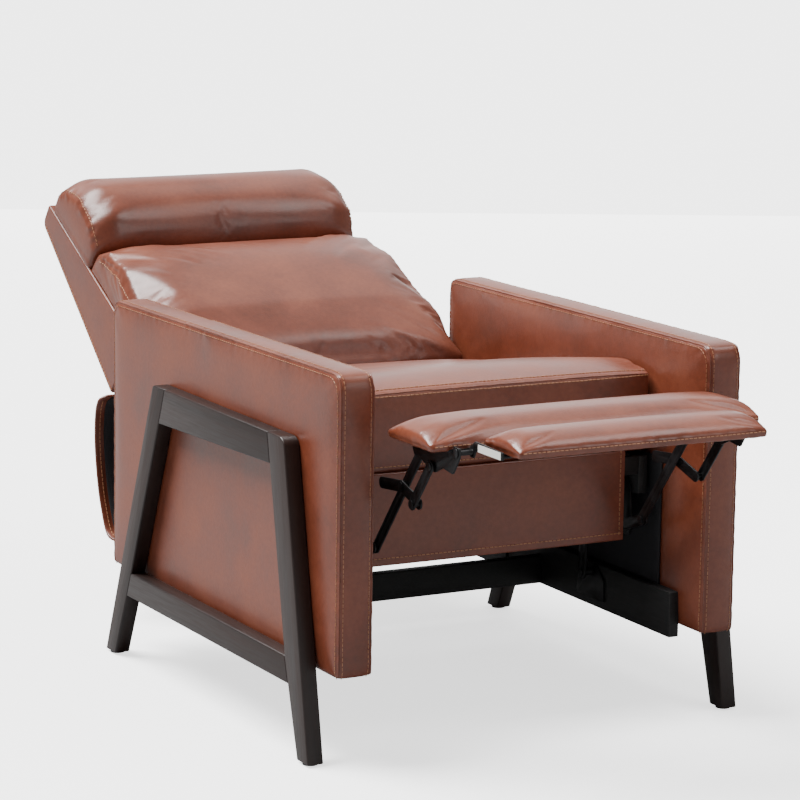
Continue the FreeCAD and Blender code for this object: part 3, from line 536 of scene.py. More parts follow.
def close_tree(tree: bpy.types.NodeTree, shape: bpy.types.NodeSocket,
               material: bpy.types.Material) -> bpy.types.NodeTree:
    """Make a tree's shape real, dye it and send it out."""
    solid = add_node(tree, "GeometryNodeRealizeInstances", None, {0: shape})
    dyed = add_node(tree, "GeometryNodeSetMaterial", {"Material": material}, {0: solid.outputs[0]})
    end = add_node(tree, "NodeGroupOutput")
    tree.links.new(dyed.outputs[0], end.inputs["Geometry"])
    return tree


def stitch_tree() -> bpy.types.NodeTree:
    """Geometry Nodes that lay a row of stitches along each line of a mesh."""
    tree, start, lines = sewing_tree("stitch row",
                                     {"Pitch": 0.0075, "Stitch": 0.0052, "Thread": 0.0007})
    spaced = add_node(tree, "GeometryNodeCurveToPoints", {"mode": "LENGTH"},
                      {0: lines, "Length": start.outputs["Pitch"]})
    stitch = add_node(tree, "GeometryNodeMeshCylinder",
                      {"Vertices": 6, "Side Segments": 2, "fill_type": "TRIANGLE_FAN"},
                      {"Radius": start.outputs["Thread"], "Depth": start.outputs["Stitch"]})
    stitched = add_node(tree, "GeometryNodeInstanceOnPoints", None,
                        {"Points": spaced.outputs["Points"], "Instance": stitch.outputs["Mesh"],
                         "Rotation": spaced.outputs["Rotation"]})
    return close_tree(tree, stitched.outputs[0], WARDROBE.get(THREAD))


def welt_tree() -> bpy.types.NodeTree:
    """Geometry Nodes that turn each line of a mesh into a thin sewn ridge."""
    tree, start, lines = sewing_tree("sewn ridge", {"Radius": 0.0015})
    ring = add_node(tree, "GeometryNodeCurvePrimitiveCircle", {"Resolution": 8},
                    {"Radius": start.outputs["Radius"]})
    tube = add_node(tree, "GeometryNodeCurveToMesh", {"Fill Caps": True},
                    {0: lines, 1: ring.outputs["Curve"]})
    return close_tree(tree, tube.outputs[0], WARDROBE.get(Leather.COVER.value))


TREES: dict[str, bpy.types.NodeTree] = {}


def along_lines(name: str, lines: Sequence[Sequence[Vector]], kind: str,
                values: dict[str, float]) -> bpy.types.Object:
    """Run a sewing tree over polylines and keep the result as a plain mesh.

    Args:
        name: the piece's name.
        lines: polylines in metres.
        kind: "stitch" or "welt".
        values: the tree's named inputs.

    Returns:
        The finished piece.
    """
    if kind not in TREES:
        TREES[kind] = stitch_tree() if kind == "stitch" else welt_tree()
    tree = TREES[kind]
    mesh = bpy.data.meshes.new(name)
    points: list[Vector] = []
    edges: list[tuple[int, int]] = []
    for line in lines:
        first = len(points)
        points.extend(line)
        edges.extend((first + i, first + i + 1) for i in range(len(line) - 1))
    mesh.from_pydata([tuple(p) for p in points], edges, [])
    obj = new_object(name, mesh)
    mod = obj.modifiers.new(kind, "NODES")
    mod.node_group = tree
    for item in tree.interface.items_tree:
        if item.item_type == "SOCKET" and item.in_out == "INPUT" and item.name in values:
            mod[item.identifier] = values[item.name]
    settle(obj)
    smooth(obj, 50)
    return obj


def sew(name: str, rows: Sequence[Sequence[Vector]], body: str, values: dict[str, float],
        kind: str = "stitch") -> None:
    """Run rows of stitches or a ridge on a body, as one piece."""
    mount(along_lines(name, rows, kind, values), body, "brown_leather")


def laid_on(obj: bpy.types.Object, line: Sequence[Vector], lift: float = 0.0004,
            spacing: float = 0.006, reach: float = 0.06) -> list[Vector]:
    """Drape a line onto a piece's surface.

    Args:
        obj: the piece, already in its final shape.
        line: rough points near the surface.
        lift: how far the line stands off the surface, in metres.
        spacing: distance between the draped points.
        reach: how far the surface is looked for.

    Returns:
        The draped points.
    """
    tree = BVHTree.FromPolygons([v.co.copy() for v in obj.data.vertices],
                                [tuple(p.vertices) for p in obj.data.polygons])
    dense: list[Vector] = []
    for a, b in zip(line, line[1:]):
        steps = max(1, int((b - a).length / spacing))
        dense.extend(a.lerp(b, k / steps) for k in range(steps))
    dense.append(line[-1])
    out = []
    for point in dense:
        spot, normal, _, distance = tree.find_nearest(point)
        if spot is not None and distance < reach:
            out.append(spot + normal * lift)
    return out


# -------------------------------------------------------------------- cushions
def points_of(obj: bpy.types.Object) -> np.ndarray:
    """An object's vertices, one row each, in metres."""
    points = np.empty(len(obj.data.vertices) * 3)
    obj.data.vertices.foreach_get("co", points)
    return points.reshape(-1, 3)


def normals_of(obj: bpy.types.Object) -> np.ndarray:
    """An object's vertex normals, one row each."""
    return np.array([tuple(v.normal) for v in obj.data.vertices])


def move_to(obj: bpy.types.Object, points: np.ndarray) -> None:
    """Write an object's vertices back."""
    obj.data.vertices.foreach_set("co", points.ravel())
    obj.data.update()


def slab(outline: Sequence[Point], x: float, width: float) -> bmesh.types.BMesh:
    """A closed side outline at x drawn out across the chair by width millimetres."""
    bm = bmesh.new()
    face = bm.faces.new([bm.verts.new(place(x, f, z)) for f, z in outline])
    made = bmesh.ops.extrude_face_region(bm, geom=[face])
    moved = [g for g in made["geom"] if isinstance(g, bmesh.types.BMVert)]
    bmesh.ops.translate(bm, verts=moved, vec=Vector((width * MM, 0, 0)))
    return bm


@dataclass
class Upholstery:
    """One padded piece: a side outline taken across the chair and sewn shut."""

    name: str
    outline: list[Point]
    x_low: float
    x_high: float
    edge: float = 14.0
    puff: float = 3.0
    cap: float = 10.0
    shrink: float = 3.0
    voxel: float = 6.0
    stiff: float = 12.0
    still: Optional[Callable[[Vector], bool]] = None
    seams: list[list[Vector]] = field(default_factory=list)
    groove: float = 1.6
    pucker: float = 0.5
    crown: Optional[Callable[[Vector], Vector]] = None

    def block(self) -> bpy.types.Object:
        """Build the closed starting block with its end edges rounded."""
        bm = slab(self.outline, self.x_low, self.x_high - self.x_low)
        bmesh.ops.recalc_face_normals(bm, faces=bm.faces)
        ends = [f for f in bm.faces if abs(f.normal.x) > 0.99]
        rims = list({e for f in ends for e in f.edges})
        bmesh.ops.bevel(bm, geom=rims, offset=self.edge * MM, segments=4, profile=0.5,
                        affect="EDGES", clamp_overlap=True)
        obj = from_bmesh(self.name, bm)
        mod = obj.modifiers.new("grid", "REMESH")
        mod.mode = "VOXEL"
        mod.voxel_size = self.voxel * MM * 1.0
        mod.adaptivity = 0.0
        settle(obj)
        relax = obj.modifiers.new("relax", "SMOOTH")
        relax.factor = 0.5
        relax.iterations = 4
        return settle(obj)

    def inflate(self, obj: bpy.types.Object) -> None:
        """Blow the cover up with cloth, held at its seams and resting faces."""
        rest = points_of(obj)
        start = rest - normals_of(obj) * self.shrink * MM
        hold = np.zeros(len(rest), bool)
        if self.still is not None:
            hold |= np.array([self.still(v.co) for v in obj.data.vertices])
        near, _ = self.seam_distance(rest)
        hold |= near < 0.6 * self.voxel * MM
        start[hold] = rest[hold]
        move_to(obj, start)
        group = obj.vertex_groups.new(name="held")
        group.add([int(i) for i in np.nonzero(hold)[0]], 1.0, "REPLACE")
        mod = obj.modifiers.new("cloth", "CLOTH")
        cloth = mod.settings
        cloth.quality = 5
        cloth.mass = 0.35
        cloth.tension_stiffness = self.stiff
        cloth.compression_stiffness = self.stiff
        cloth.shear_stiffness = self.stiff / 2
        cloth.bending_stiffness = 0.8
        cloth.use_pressure = True
        cloth.uniform_pressure_force = self.puff
        cloth.vertex_group_mass = "held"
        cloth.effector_weights.gravity = 0.0
        mod.collision_settings.use_collision = False
        mod.point_cache.frame_start = 1
        mod.point_cache.frame_end = CLOTH_STEPS
        scene = bpy.context.scene
        for step in range(1, CLOTH_STEPS + 1):
            scene.frame_set(step)
        settle(obj)
        scene.frame_set(1)
        shift = points_of(obj) - rest
        size = np.linalg.norm(shift, axis=1, keepdims=True)
        limit = self.cap * MM
        shift *= limit * np.tanh(size / limit) / np.maximum(size, 1e-9)
        move_to(obj, rest + shift)

    def seam_distance(self, points: np.ndarray) -> tuple[np.ndarray, np.ndarray]:
        """How far each point is from the nearest seam, and how far along it.

        Args:
            points: the points, one row each, in metres.

        Returns:
            The distance to the nearest seam and the length run along that seam.
        """
        best = np.full(len(points), 1e9)
        along = np.zeros(len(points))
        for seam in self.seams:
            done = 0.0
            for a, b in zip(seam, seam[1:]):
                start, run = np.array(a), np.array(b) - np.array(a)
                length = float(np.linalg.norm(run))
                t = np.clip(((points - start) @ run) / max(run @ run, 1e-12), 0, 1)
                gap = np.linalg.norm(points - (start + t[:, None] * run), axis=1)
                closer = gap < best
                along = np.where(closer, done + t * length, along)
                best = np.minimum(best, gap)
                done += length
        return best, along

    def fit(self, body: str, node: str,
            hide: Leather = Leather.COVER) -> bpy.types.Object:
        """Make the finished cushion and fix it to its body.

        Args:
            body: the CAD body that it rides on.
            node: the CAD cushion that it stands for.
            hide: its leather.

        Returns:
            The cushion's object.
        """
        piece = self.build()
        dress(piece, WARDROBE.get(hide.value))
        mount(piece, body, "leather_over_foam", node)
        log.info("%s: %d faces", self.name, len(piece.data.polygons))
        return piece

    def build(self) -> bpy.types.Object:
        """Make the cushion: block, crown, cloth, then the dips along its seams."""
        obj = self.block()
        if self.crown is not None:
            for vertex in obj.data.vertices:
                vertex.co = self.crown(vertex.co)
            obj.data.update()
        self.inflate(obj)
        obj.vertex_groups.clear()
        finer = obj.modifiers.new("finer", "SUBSURF")
        finer.levels = finer.render_levels = 1
        settle(obj)
        if self.seams and self.groove > 0:
            points = points_of(obj)
            near, along = self.seam_distance(points)
            dip = np.exp(-(near / CREASE) ** 2) * self.groove
            wave = np.sin(along / PUCKER_PITCH + 1.7 * np.sin(along / PUCKER_SWAY))
            wave = wave * np.sin(along / PUCKER_GROUP)
            dip += wave * np.exp(-(near / PUCKER_REACH) ** 2) * self.pucker
            move_to(obj, points - normals_of(obj) * dip[:, None] * MM)
        smooth(obj)
        return obj


def offset_line(line: Sequence[Point], distance: float) -> list[Point]:
    """Shift an open side line to its left by distance millimetres."""
    out = []
    for i, (f, z) in enumerate(line):
        a = Vector(line[max(i - 1, 0)])
        b = Vector(line[min(i + 1, len(line) - 1)])
        run = (b - a).normalized()
        out.append((f - run.y * distance, z + run.x * distance))
    return out


def across(f: float, z: float, half: float, steps: int = 8) -> list[Vector]:
    """A straight line across the chair at (f, z)."""
    return [place(-half + 2 * half * k / steps, f, z) for k in range(steps + 1)]


def at_side(x: float, line: Sequence[Point]) -> list[Vector]:
    """A side-view line placed at one x."""
    return [place(x, f, z) for f, z in line]


def both_sides(x: float, line: Sequence[Point]) -> list[list[Vector]]:
    """A side-view line placed at x and again at -x."""
    return [at_side(x, line), at_side(-x, line)]


def unit(value: float) -> float:
    """Hold a value between 0 and 1."""
    return max(0.0, min(1.0, value))


# -------------------------------------------------------------- wooden frames
@dataclass
class WoodenSides:
    """The two slanted side frames, four lacquered members each."""

    soften: float = 2.2
    lean: dict[str, Vector] = field(default_factory=lambda: {
        "front_leg": Vector((0, 0.19, 0.98)), "rear_leg": Vector((0, -0.42, 0.91)),
        "top_rail": Vector((0, 1, 0)), "lower_rail": Vector((0, 1, 0))})

    def build(self) -> None:
        """Round each member's edges and lacquer it with the grain along it."""
        for side, _ in SIDES:
            for member, along in self.lean.items():
                node = f"{side}_{member}"
                piece = cad_copy(node, f"wood_{node}")
                bevel(piece, self.soften, 3)
                smooth(piece, 40)
                dress(piece, WARDROBE.get(StainedWood(f"espresso rubberwood {member}",
                                                      along=along.normalized())))
                mount(piece, "base", "espresso_wood", node)
                log.info("wooden member %s", node)


# ----------------------------------------------------------------------- arms
@dataclass
class Arms:
    """The two boxed arms: flat sides, a strip over the top and down the front."""

    inner: float = 292.5
    outer: float = 353.0
    front: float = 416.0
    rear: float = -428.0
    bottom: float = 139.0
    top_front: float = 604.0
    top_rear: float = 595.0
    radius: float = 30.0
    return_f: float = 292.0
    seat_line: float = 405.0

    def outline(self) -> list[Point]:
        """The arm's side outline."""
        return rounded([(self.rear, self.bottom, 4), (self.front, self.bottom, 4),
                        (self.front, self.top_front, self.radius),
                        (self.rear, self.top_rear, 22)], 7)

    def edge_line(self, inset: float) -> list[Point]:
        """The line that the boxing seam follows: up the back, over the top, down the front."""
        return rounded([(self.rear + inset, self.bottom, 0),
                        (self.rear + inset, self.top_rear - inset, 22),
                        (self.front - inset, self.top_front - inset, self.radius),
                        (self.front - inset, self.bottom, 0)], 7)

    def build(self) -> None:
        """Make both arms with their seams, ridges and stitches."""
        for side, sign in SIDES:
            low, high = sorted((sign * self.inner, sign * self.outer))
            seams = [at_side(x, self.edge_line(1.0)) for x in (low + 1.5, high - 1.5)]

            def still(point: Vector) -> bool:
                """True underneath and on the inner face behind the return, both on board."""
                inside = abs(point.x) < (self.inner + 3) * MM and point.z < self.seat_line * MM
                behind = forward_of(point) < self.return_f
                return point.z < (self.bottom + 12) * MM or (inside and behind)

            arm = Upholstery(f"{side}_arm", self.outline(), low, high, edge=4.0, puff=3.4,
                             cap=4.5, shrink=-0.8, voxel=6.5, still=still, seams=seams, groove=0.8)
            piece = arm.fit("base", f"{side}_arm_cover")
            welts = [laid_on(piece, seam, lift=0.0002) for seam in seams]
            sew(f"{side}_arm_welts", welts, "base", {"Radius": 0.0016}, "welt")
            rows = [laid_on(piece, at_side(x, self.edge_line(inset)), lift=0.0003)
                    for x, inset in ((low + 8.5, 0.0), (high - 8.5, 0.0), (low, 8.0), (high, 8.0))]
            sew(f"{side}_arm_stitches", rows, "base", {"Thread": 0.0006})
            self.lining(side, sign)

    def lining(self, side: str, sign: int) -> None:
        """Black board on the arm's inner face behind the leather's return."""
        thick = 1.6
        ring = rounded([(self.rear + 30, self.bottom + 2, 6), (self.return_f, self.bottom + 2, 2),
                        (self.return_f, self.seat_line, 2),
                        (self.rear + 30, self.seat_line - 30, 6)], 4)
        piece = from_bmesh(f"{side}_arm_inner_lining",
                           slab(ring, sign * (self.inner - thick), -sign * thick))
        dress(piece, WARDROBE.get(LINING))
        mount(piece, "base", "black_cloth")


# ----------------------------------------------------------------------- seat
@dataclass
class Seat:
    """The boxed seat cushion and the leather panel under its front."""

    half: float = 284.0
    front: float = 268.0
    rear: float = -300.0
    top_front: float = 545.0
    crown_f: float = 195.0
    crown_z: float = 557.0
    top_rear: float = 472.0
    low_front: float = 413.0
    low_rear: float = 359.0
    panel_half: float = 232.0
    panel_front: float = 275.0
    panel_bottom: float = 270.0
    panel_top: float = 416.0

    def cushion(self) -> None:
        """The seat cushion: crowned top, seam along its front edge, stitched twice."""
        outline = rounded([(self.rear, self.low_rear, 6), (self.front, self.low_front, 4),
                           (self.front + 2, self.top_front - 2, 16),
                           (self.crown_f, self.crown_z + 1, 60),
                           (-90, 506, 200), (self.rear, self.top_rear, 26)], 7)
        seam_z = self.top_front - 4
        side = [(self.rear + 10, self.top_rear - 14), (-90, 494), (self.crown_f, self.crown_z - 16),
                (self.front - 6, seam_z)]
        seams = [across(self.front - 2, seam_z, self.half - 6), *both_sides(self.half - 2, side)]

        def share_of(point: Vector) -> float:
            """How far toward the front a point stands, 0 at the rear and 1 at the front."""
            return (forward_of(point) - self.rear) / (self.front - self.rear)

        def still(point: Vector) -> bool:
            """True on the underside, which rests on the springs."""
            rise = share_of(point) * (self.low_front - self.low_rear)
            return point.z < (self.low_rear + rise + 8) * MM

        def crown(point: Vector) -> Vector:
            """Lift the middle of the top a little above its edges."""
            rise = share_of(point) * (self.low_front - self.low_rear)
            height = (point.z / MM - self.low_rear - rise) / 140
            if height < 0.6:
                return point
            x = point.x / MM / self.half
            lift = (4.0 * (1 - x * x) - 3.0) * min(1.0, (height - 0.6) / 0.3)
            return point + Vector((0, 0, lift * MM))

        block = Upholstery("seat_cushion_cover", outline, -self.half, self.half, edge=9.0, puff=4.0,
                           voxel=7.0, cap=9.0, shrink=4.0, still=still, seams=seams, groove=2.2,
                           crown=crown)
        piece = block.fit("seat", "seat_cushion")
        rows = [laid_on(piece, across(self.front + f, z, self.half - 10))
                for f, z in ((2, seam_z - 6), (-12, seam_z + 9), (3, self.low_front + 11))]
        sew("seat_stitches", rows, "seat", {"Thread": 0.0009, "Stitch": 0.0058})
        sew("seat_welt", [laid_on(piece, seams[0], lift=-0.0004)], "seat",
            {"Radius": 0.0017}, "welt")

    def panel(self) -> None:
        """The stretched leather panel below the seat's front."""
        outline = rounded([(self.front, self.panel_bottom, 1),
                           (self.panel_front, self.panel_bottom, 3),
                           (self.panel_front, self.panel_top, 3),
                           (self.front, self.panel_top, 1)], 4)
        bm = bmesh.new()
        steps = 60
        rings = []
        for k in range(steps + 1):
            x = -self.panel_half + 2 * self.panel_half * k / steps
            swell = 0.6 + 0.4 * (1 - abs(x / self.panel_half) ** 6)
            rings.append([bm.verts.new(place(x, self.front + (f - self.front) * swell, z))
                          for f, z in outline])
        count = len(outline)
        for a, b in zip(rings, rings[1:]):
            for i in range(count):
                bm.faces.new((a[i], a[(i + 1) % count], b[(i + 1) % count], b[i]))
        bm.faces.new(rings[0])
        bm.faces.new(list(reversed(rings[-1])))
        piece = from_bmesh("front_panel_leather", bm)
        smooth(piece, 35)
        dress(piece, WARDROBE.get(Leather.COVER.value))
        mount(piece, "seat", "brown_leather", "front_panel")
        low, edge = self.panel_bottom + 12, self.panel_half - 8
        rise = [(self.panel_front, low), (self.panel_front, self.panel_top)]
        rows = [laid_on(piece, line)
                for line in (across(self.panel_front, low, edge), *both_sides(edge, rise))]
        sew("front_panel_stitches", rows, "seat", {"Thread": 0.0009})

    def springs(self) -> None:
        """Zigzag seat springs, one continuous wire each."""
        pitch, swing, bends, count = 78.0, 17, 14, 150
        fall = (self.low_front - self.low_rear) / (self.front - self.rear)
        wires = []
        for index in range(-3, 4):
            line = []
            for k in range(count + 1):
                share = k / count
                f = (self.front - 4) - share * (self.front - self.rear + 14)
                z = self.low_front - 6.2 - (self.front - f) * fall
                line.append(place(pitch * index + swing * math.sin(share * 2 * math.pi * bends),
                                  f, z))
            wires.append(line)
        springs = along_lines("zigzag_seat_springs", wires, "welt", {"Radius": 0.0018})
        dress(springs, WARDROBE.get(RIVET))
        mount(springs, "seat", "spring_steel", "seat_springs")

    def build(self) -> None:
        """Make the seat's soft pieces and its springs."""
        self.cushion()
        self.panel()
        self.springs()


# ----------------------------------------------------------------------- back
@dataclass
class Back:
    """The reclined back: cushion, head roll, outside panel."""

    half: float = 262.0
    low_u: float = 545.0
    groove_u: float = 957.0
    top_u: float = 1160.0

    def slid(self, point: Vector, up: float, out: float) -> Vector:
        """Move a point along the back's own directions, in millimetres."""
        return point + Vector((0, (LEAN_COS * up - LEAN_SIN * out) * MM,
                               (LEAN_SIN * up + LEAN_COS * out) * MM))

    def reading(self, point: Vector) -> tuple[float, float, float]:
        """A point's share of the half width, height up the back and standing out."""
        f, z = forward_of(point), point.z / MM
        return (abs(point.x / MM / self.half), -LEAN_COS * f + LEAN_SIN * z,
                LEAN_SIN * f + LEAN_COS * z)

    def frame_face(self, u: float) -> float:
        """How far the frame's face stands out at this height up the back."""
        knee_u, knee_v, foot_v = 792, 14, 46
        if u < knee_u:
            return foot_v + (u - self.low_u) * (knee_v - foot_v) / (knee_u - self.low_u)
        return knee_v - (u - knee_u) * 86 / 368

    def cushion(self) -> None:
        """The lumbar cushion between the seat and the head roll."""
        low, groove = self.low_u, self.groove_u
        corners = back_line((low, 46), (792, 14), (groove, -25), (groove, 16), (groove - 22, 64),
                            (groove - 110, 108), (700, 134), (low + 8, 141), (low, 110))
        radii = [6, 0, 6, 20, 30, 60, 60, 24, 10]
        outline = rounded([(f, z, r) for (f, z), r in zip(corners, radii)], 6)
        side_line = back_line((low + 10, 112), (700, 104), (groove - 110, 78), (groove - 26, 32))
        seams = both_sides(self.half - 1, side_line)

        def still(point: Vector) -> bool:
            """True on the back face, which lies on the frame."""
            _, u, v = self.reading(point)
            return v < self.frame_face(u) + 9

        def crown(point: Vector) -> Vector:
            """Round the front off toward its sides and widen the cushion at its foot."""
            x, u, v = self.reading(point)
            fall = max(0.0, (x - 0.62) / 0.38)
            stand = unit((v - 20) / 70)
            high = unit((u - self.groove_u + 90) / 90)
            upper = 0.15 + 0.85 * unit((u - 660) / 240)
            moved = self.slid(point, -16.0 * fall ** 2 * high * stand,
                              (4.0 - 17.0 * fall ** 2 * upper) * stand)
            wide = 1.0 + 0.09 * unit((900 - u) / 230) * min(1.0, stand * 2.0)
            return Vector((moved.x * wide, moved.y, moved.z))

        block = Upholstery("back_cushion_cover", outline, -self.half, self.half, edge=24.0,
                           puff=2.6, cap=16.0, shrink=2.0, still=still, seams=seams, groove=2.2,
                           crown=crown, pucker=1.3)
        piece = block.fit("back", "back_cushion")
        rows = [laid_on(piece, line)
                for line in both_sides(self.half - 1, offset_line(side_line, 7))]
        sew("back_cushion_stitches", rows, "back", {"Thread": 0.0008})

    def head_roll(self) -> None:
        """The stuffed head roll over the top of the back."""
        groove, top = self.groove_u, self.top_u
        corners = back_line((groove + 3, -28), (top - 2, -72), (top - 2, -26), (top - 26, 16),
                            (top - 84, 54), (groove + 44, 60), (groove + 5, 30))
        radii = [6, 4, 24, 40, 50, 40, 14]
        outline = rounded([(f, z, r) for (f, z), r in zip(corners, radii)], 6)
        side_line = back_line((groove + 12, 26), (groove + 50, 36), (top - 84, 30), (top - 24, -6),
                              (top - 8, -40))
        seams = both_sides(self.half - 1, side_line)

        def still(point: Vector) -> bool:
            """True on the face that lies on the frame."""
            _, u, v = self.reading(point)
            return v < self.frame_face(u) + 10

        def crown(point: Vector) -> Vector:
            """Round the roll off toward both ends."""
            x, u, v = self.reading(point)
            fall = max(0.0, (x - 0.80) / 0.20)
            share = unit((u - self.groove_u) / (self.top_u - self.groove_u))
            stand = unit((v + 50) / 90)
            return self.slid(point, (5.0 - 20.0 * fall ** 2.2) * share,
                             (5.0 - 27.0 * fall ** 2) * stand)

        block = Upholstery("head_roll_cover", outline, -self.half, self.half, edge=18.0, puff=3.6,
                           cap=14.0, shrink=1.0, still=still, seams=seams, groove=2.0, crown=crown,
                           pucker=1.3)
        piece = block.fit("back", "headrest")
        rows = [laid_on(piece, line)
                for line in both_sides(self.half - 1, offset_line(side_line, -7))]
        sew("head_roll_stitches", rows, "back", {"Thread": 0.0008})

    def outside(self) -> None:
        """The tight leather outside of the back, with a stitched edge."""
        piece = cad_copy("back_shell", "outside_back_panel")
        bevel(piece, 3.0, 3, 30)
        smooth(piece, 40)
        dress(piece, WARDROBE.get(Leather.COVER.value))
        mount(piece, "back", "brown_leather", "back_shell")
        rows = []
        for sign in (1, -1):
            for x, v in ((self.half, -112), (self.half - 9, -120)):
                line = back_line((752, v), (1140, v))
                rows.append(laid_on(piece, at_side(sign * x, line)))
        f, z = on_back(1146, -120)
        rows.append(laid_on(piece, across(f, z, self.half - 12)))
        sew("outside_back_stitches", rows, "back", {"Thread": 0.0008})

    def build(self) -> None:
        """Make the back's soft pieces."""
        self.cushion()
        self.head_roll()
        self.outside()


# ----------------------------------------------------------------- rear skirt
@dataclass
class RearSkirt:
    """The curved flap that hangs behind the seat and hides the works."""

    half: float = 286.0
    hinge: Point = (-645.0, 389.0)
    steps: tuple[Point, ...] = ((0, 0), (-19, -31), (-23, -89), (-12, -155), (5, -204), (32, -246),
                                (82, -255))
    thick: float = 5.0

    def line(self, inset: float) -> list[Point]:
        """The skirt's side line, smoothed, moved inward by inset."""
        knots = [(self.hinge[0] + f, self.hinge[1] + z) for f, z in self.steps]
        out = []
        for i in range(len(knots) - 1):
            p0 = Vector(knots[max(i - 1, 0)])
            p1, p2 = Vector(knots[i]), Vector(knots[i + 1])
            p3 = Vector(knots[min(i + 2, len(knots) - 1)])
            for k in range(6):
                t = k / 6
                spot = 0.5 * ((2 * p1) + (p2 - p0) * t + (2 * p0 - 5 * p1 + 4 * p2 - p3) * t * t
                              + (3 * p1 - p0 - 3 * p2 + p3) * t ** 3)
                out.append((spot.x, spot.y))
        out.append(knots[-1])
        return offset_line(out, inset)

    def leaf(self, name: str, near: float, far: float, half: float) -> bpy.types.Object:
        """A curved leaf between two insets, its corners rounded off."""
        outer, inner = self.line(near), self.line(far)
        count = len(outer)
        bm = bmesh.new()
        rows = []
        across_steps = 40
        for i in range(count):
            share = i / (count - 1)
            foot, head = max(0.0, (share - 0.86) / 0.14), max(0.0, (0.08 - share) / 0.08)
            reach = half - (26 * foot ** 2 + 16 * head ** 2)
            row = []
            for (f, z) in (outer[i], inner[i]):
                row.append([bm.verts.new(place(-reach + 2 * reach * k / across_steps, f, z))
                            for k in range(across_steps + 1)])
            rows.append(row)
        for i in range(count - 1):
            for k in range(across_steps):
                a, b = rows[i], rows[i + 1]
                bm.faces.new((a[0][k], a[0][k + 1], b[0][k + 1], b[0][k]))
                bm.faces.new((a[1][k], b[1][k], b[1][k + 1], a[1][k + 1]))
            for k in (0, across_steps):
                bm.faces.new((rows[i][0][k], rows[i + 1][0][k], rows[i + 1][1][k], rows[i][1][k]))
        for i in (0, count - 1):
            for k in range(across_steps):
                bm.faces.new((rows[i][0][k], rows[i][1][k], rows[i][1][k + 1], rows[i][0][k + 1]))
        piece = from_bmesh(name, bm)
        bevel(piece, 1.5, 2, 50)
        smooth(piece, 50)
        return piece

    def build(self) -> None:
        """Make the leather leaf, its black lining and its edge stitching."""
        leaf = self.leaf("rear_skirt_leather", 0.0, self.thick, self.half)
        dress(leaf, WARDROBE.get(Leather.COVER.value))
        mount(leaf, "skirt", "brown_leather", "rear_skirt")
        lining = self.leaf("rear_skirt_lining", self.thick + 0.1, self.thick + 1.9, self.half - 16)
        dress(lining, WARDROBE.get(LINING))
        mount(lining, "skirt", "black_cloth", "skirt_lining")
        rows = [laid_on(leaf, at_side(sign * (self.half - 9), self.line(inset)[3:-5]))
                for sign in (1, -1) for inset in (0.0, self.thick)]
        sew("rear_skirt_stitches", rows, "skirt", {"Thread": 0.0009})
        log.info("rear skirt")


# -------------------------------------------------------------------- footrest
@dataclass
class Footrest:
    """The two slim leg pads: the wide one by the seat and the narrow front one."""

    wide_half: float = 286.0
    narrow_half: float = 213.0

    def pad(self, name: str, node: str, body: str, half: float, rear: float, front: float,
            low: float, top: float) -> None:
        """One slim pad: crowned leather wrapped over a board.

        Args:
            name: the piece's name.
            node: the CAD pad that it stands for.
            body: the body it rides on.
            half: half its width.
            rear: its rear edge.
            front: its front edge.
            low: its underside.
            top: its highest line.
        """
        outline = rounded([(rear, low, 4), (front, low, 5), (front + 1, low + 16, 12),
                           (front - 34, top, 60), (rear + 40, top, 60), (rear, low + 18, 12)], 7)
        seam = [(rear, low + 5), (front, low + 5)]
        seams = [across(front + 0.5, low + 6, half - 12), across(rear - 0.5, low + 6, half - 12),
                 *both_sides(half - 1, seam)]

        def still(point: Vector) -> bool:
            """True on the underside, stapled to its board."""
            return point.z < (low + 3) * MM

        def crown(point: Vector) -> Vector:
            """Round the pad's ends off in height and in plan."""
            x = abs(point.x / MM) / half
            fall = max(0.0, (x - 0.82) / 0.18)
            height = max(0.0, (point.z / MM - low) / (top - low))
            drop = (top - low) * 0.36 * fall ** 2 * height
            middle = (rear + front) / 2
            f = forward_of(point)
            squeeze = 1 - 0.03 * fall ** 2
            return Vector((point.x, -(middle + (f - middle) * squeeze + BACK_SHIFT) * MM,
                           point.z - drop * MM))

        block = Upholstery(name, outline, -half, half, edge=8.0, puff=4.0, cap=6.0, shrink=0.0,
                           voxel=4.5, still=still, seams=seams, groove=1.2, crown=crown)
        piece = block.fit(body, node, Leather.PAD)
        rows = [laid_on(piece, across(f, low + 9.5, half - 10)) for f in (front + 1, rear - 1)]
        sew(f"{name}_stitches", rows, body, {"Thread": 0.0007})

    def underside(self, name: str, node: str, body: str) -> None:
        """A pad's board with its edges rounded and a black cloth cover."""
        piece = cad_copy(node, name)
        bevel(piece, 2.0, 3)
        smooth(piece, 40)
        dress(piece, WARDROBE.get(LINING))
        mount(piece, body, "board", node)

    def build(self) -> None:
        """Make both pads and their covered boards."""
        self.pad("wide_leg_pad", "ottoman_pad", "ottoman", self.wide_half, 432, 574, 509, 546)
        self.pad("narrow_leg_pad", "flipper_pad", "flipper", self.narrow_half, 593, 703, 517, 550)
        self.underside("wide_pad_board", "ottoman_board", "ottoman")
        self.underside("narrow_pad_board", "flipper_board", "flipper")


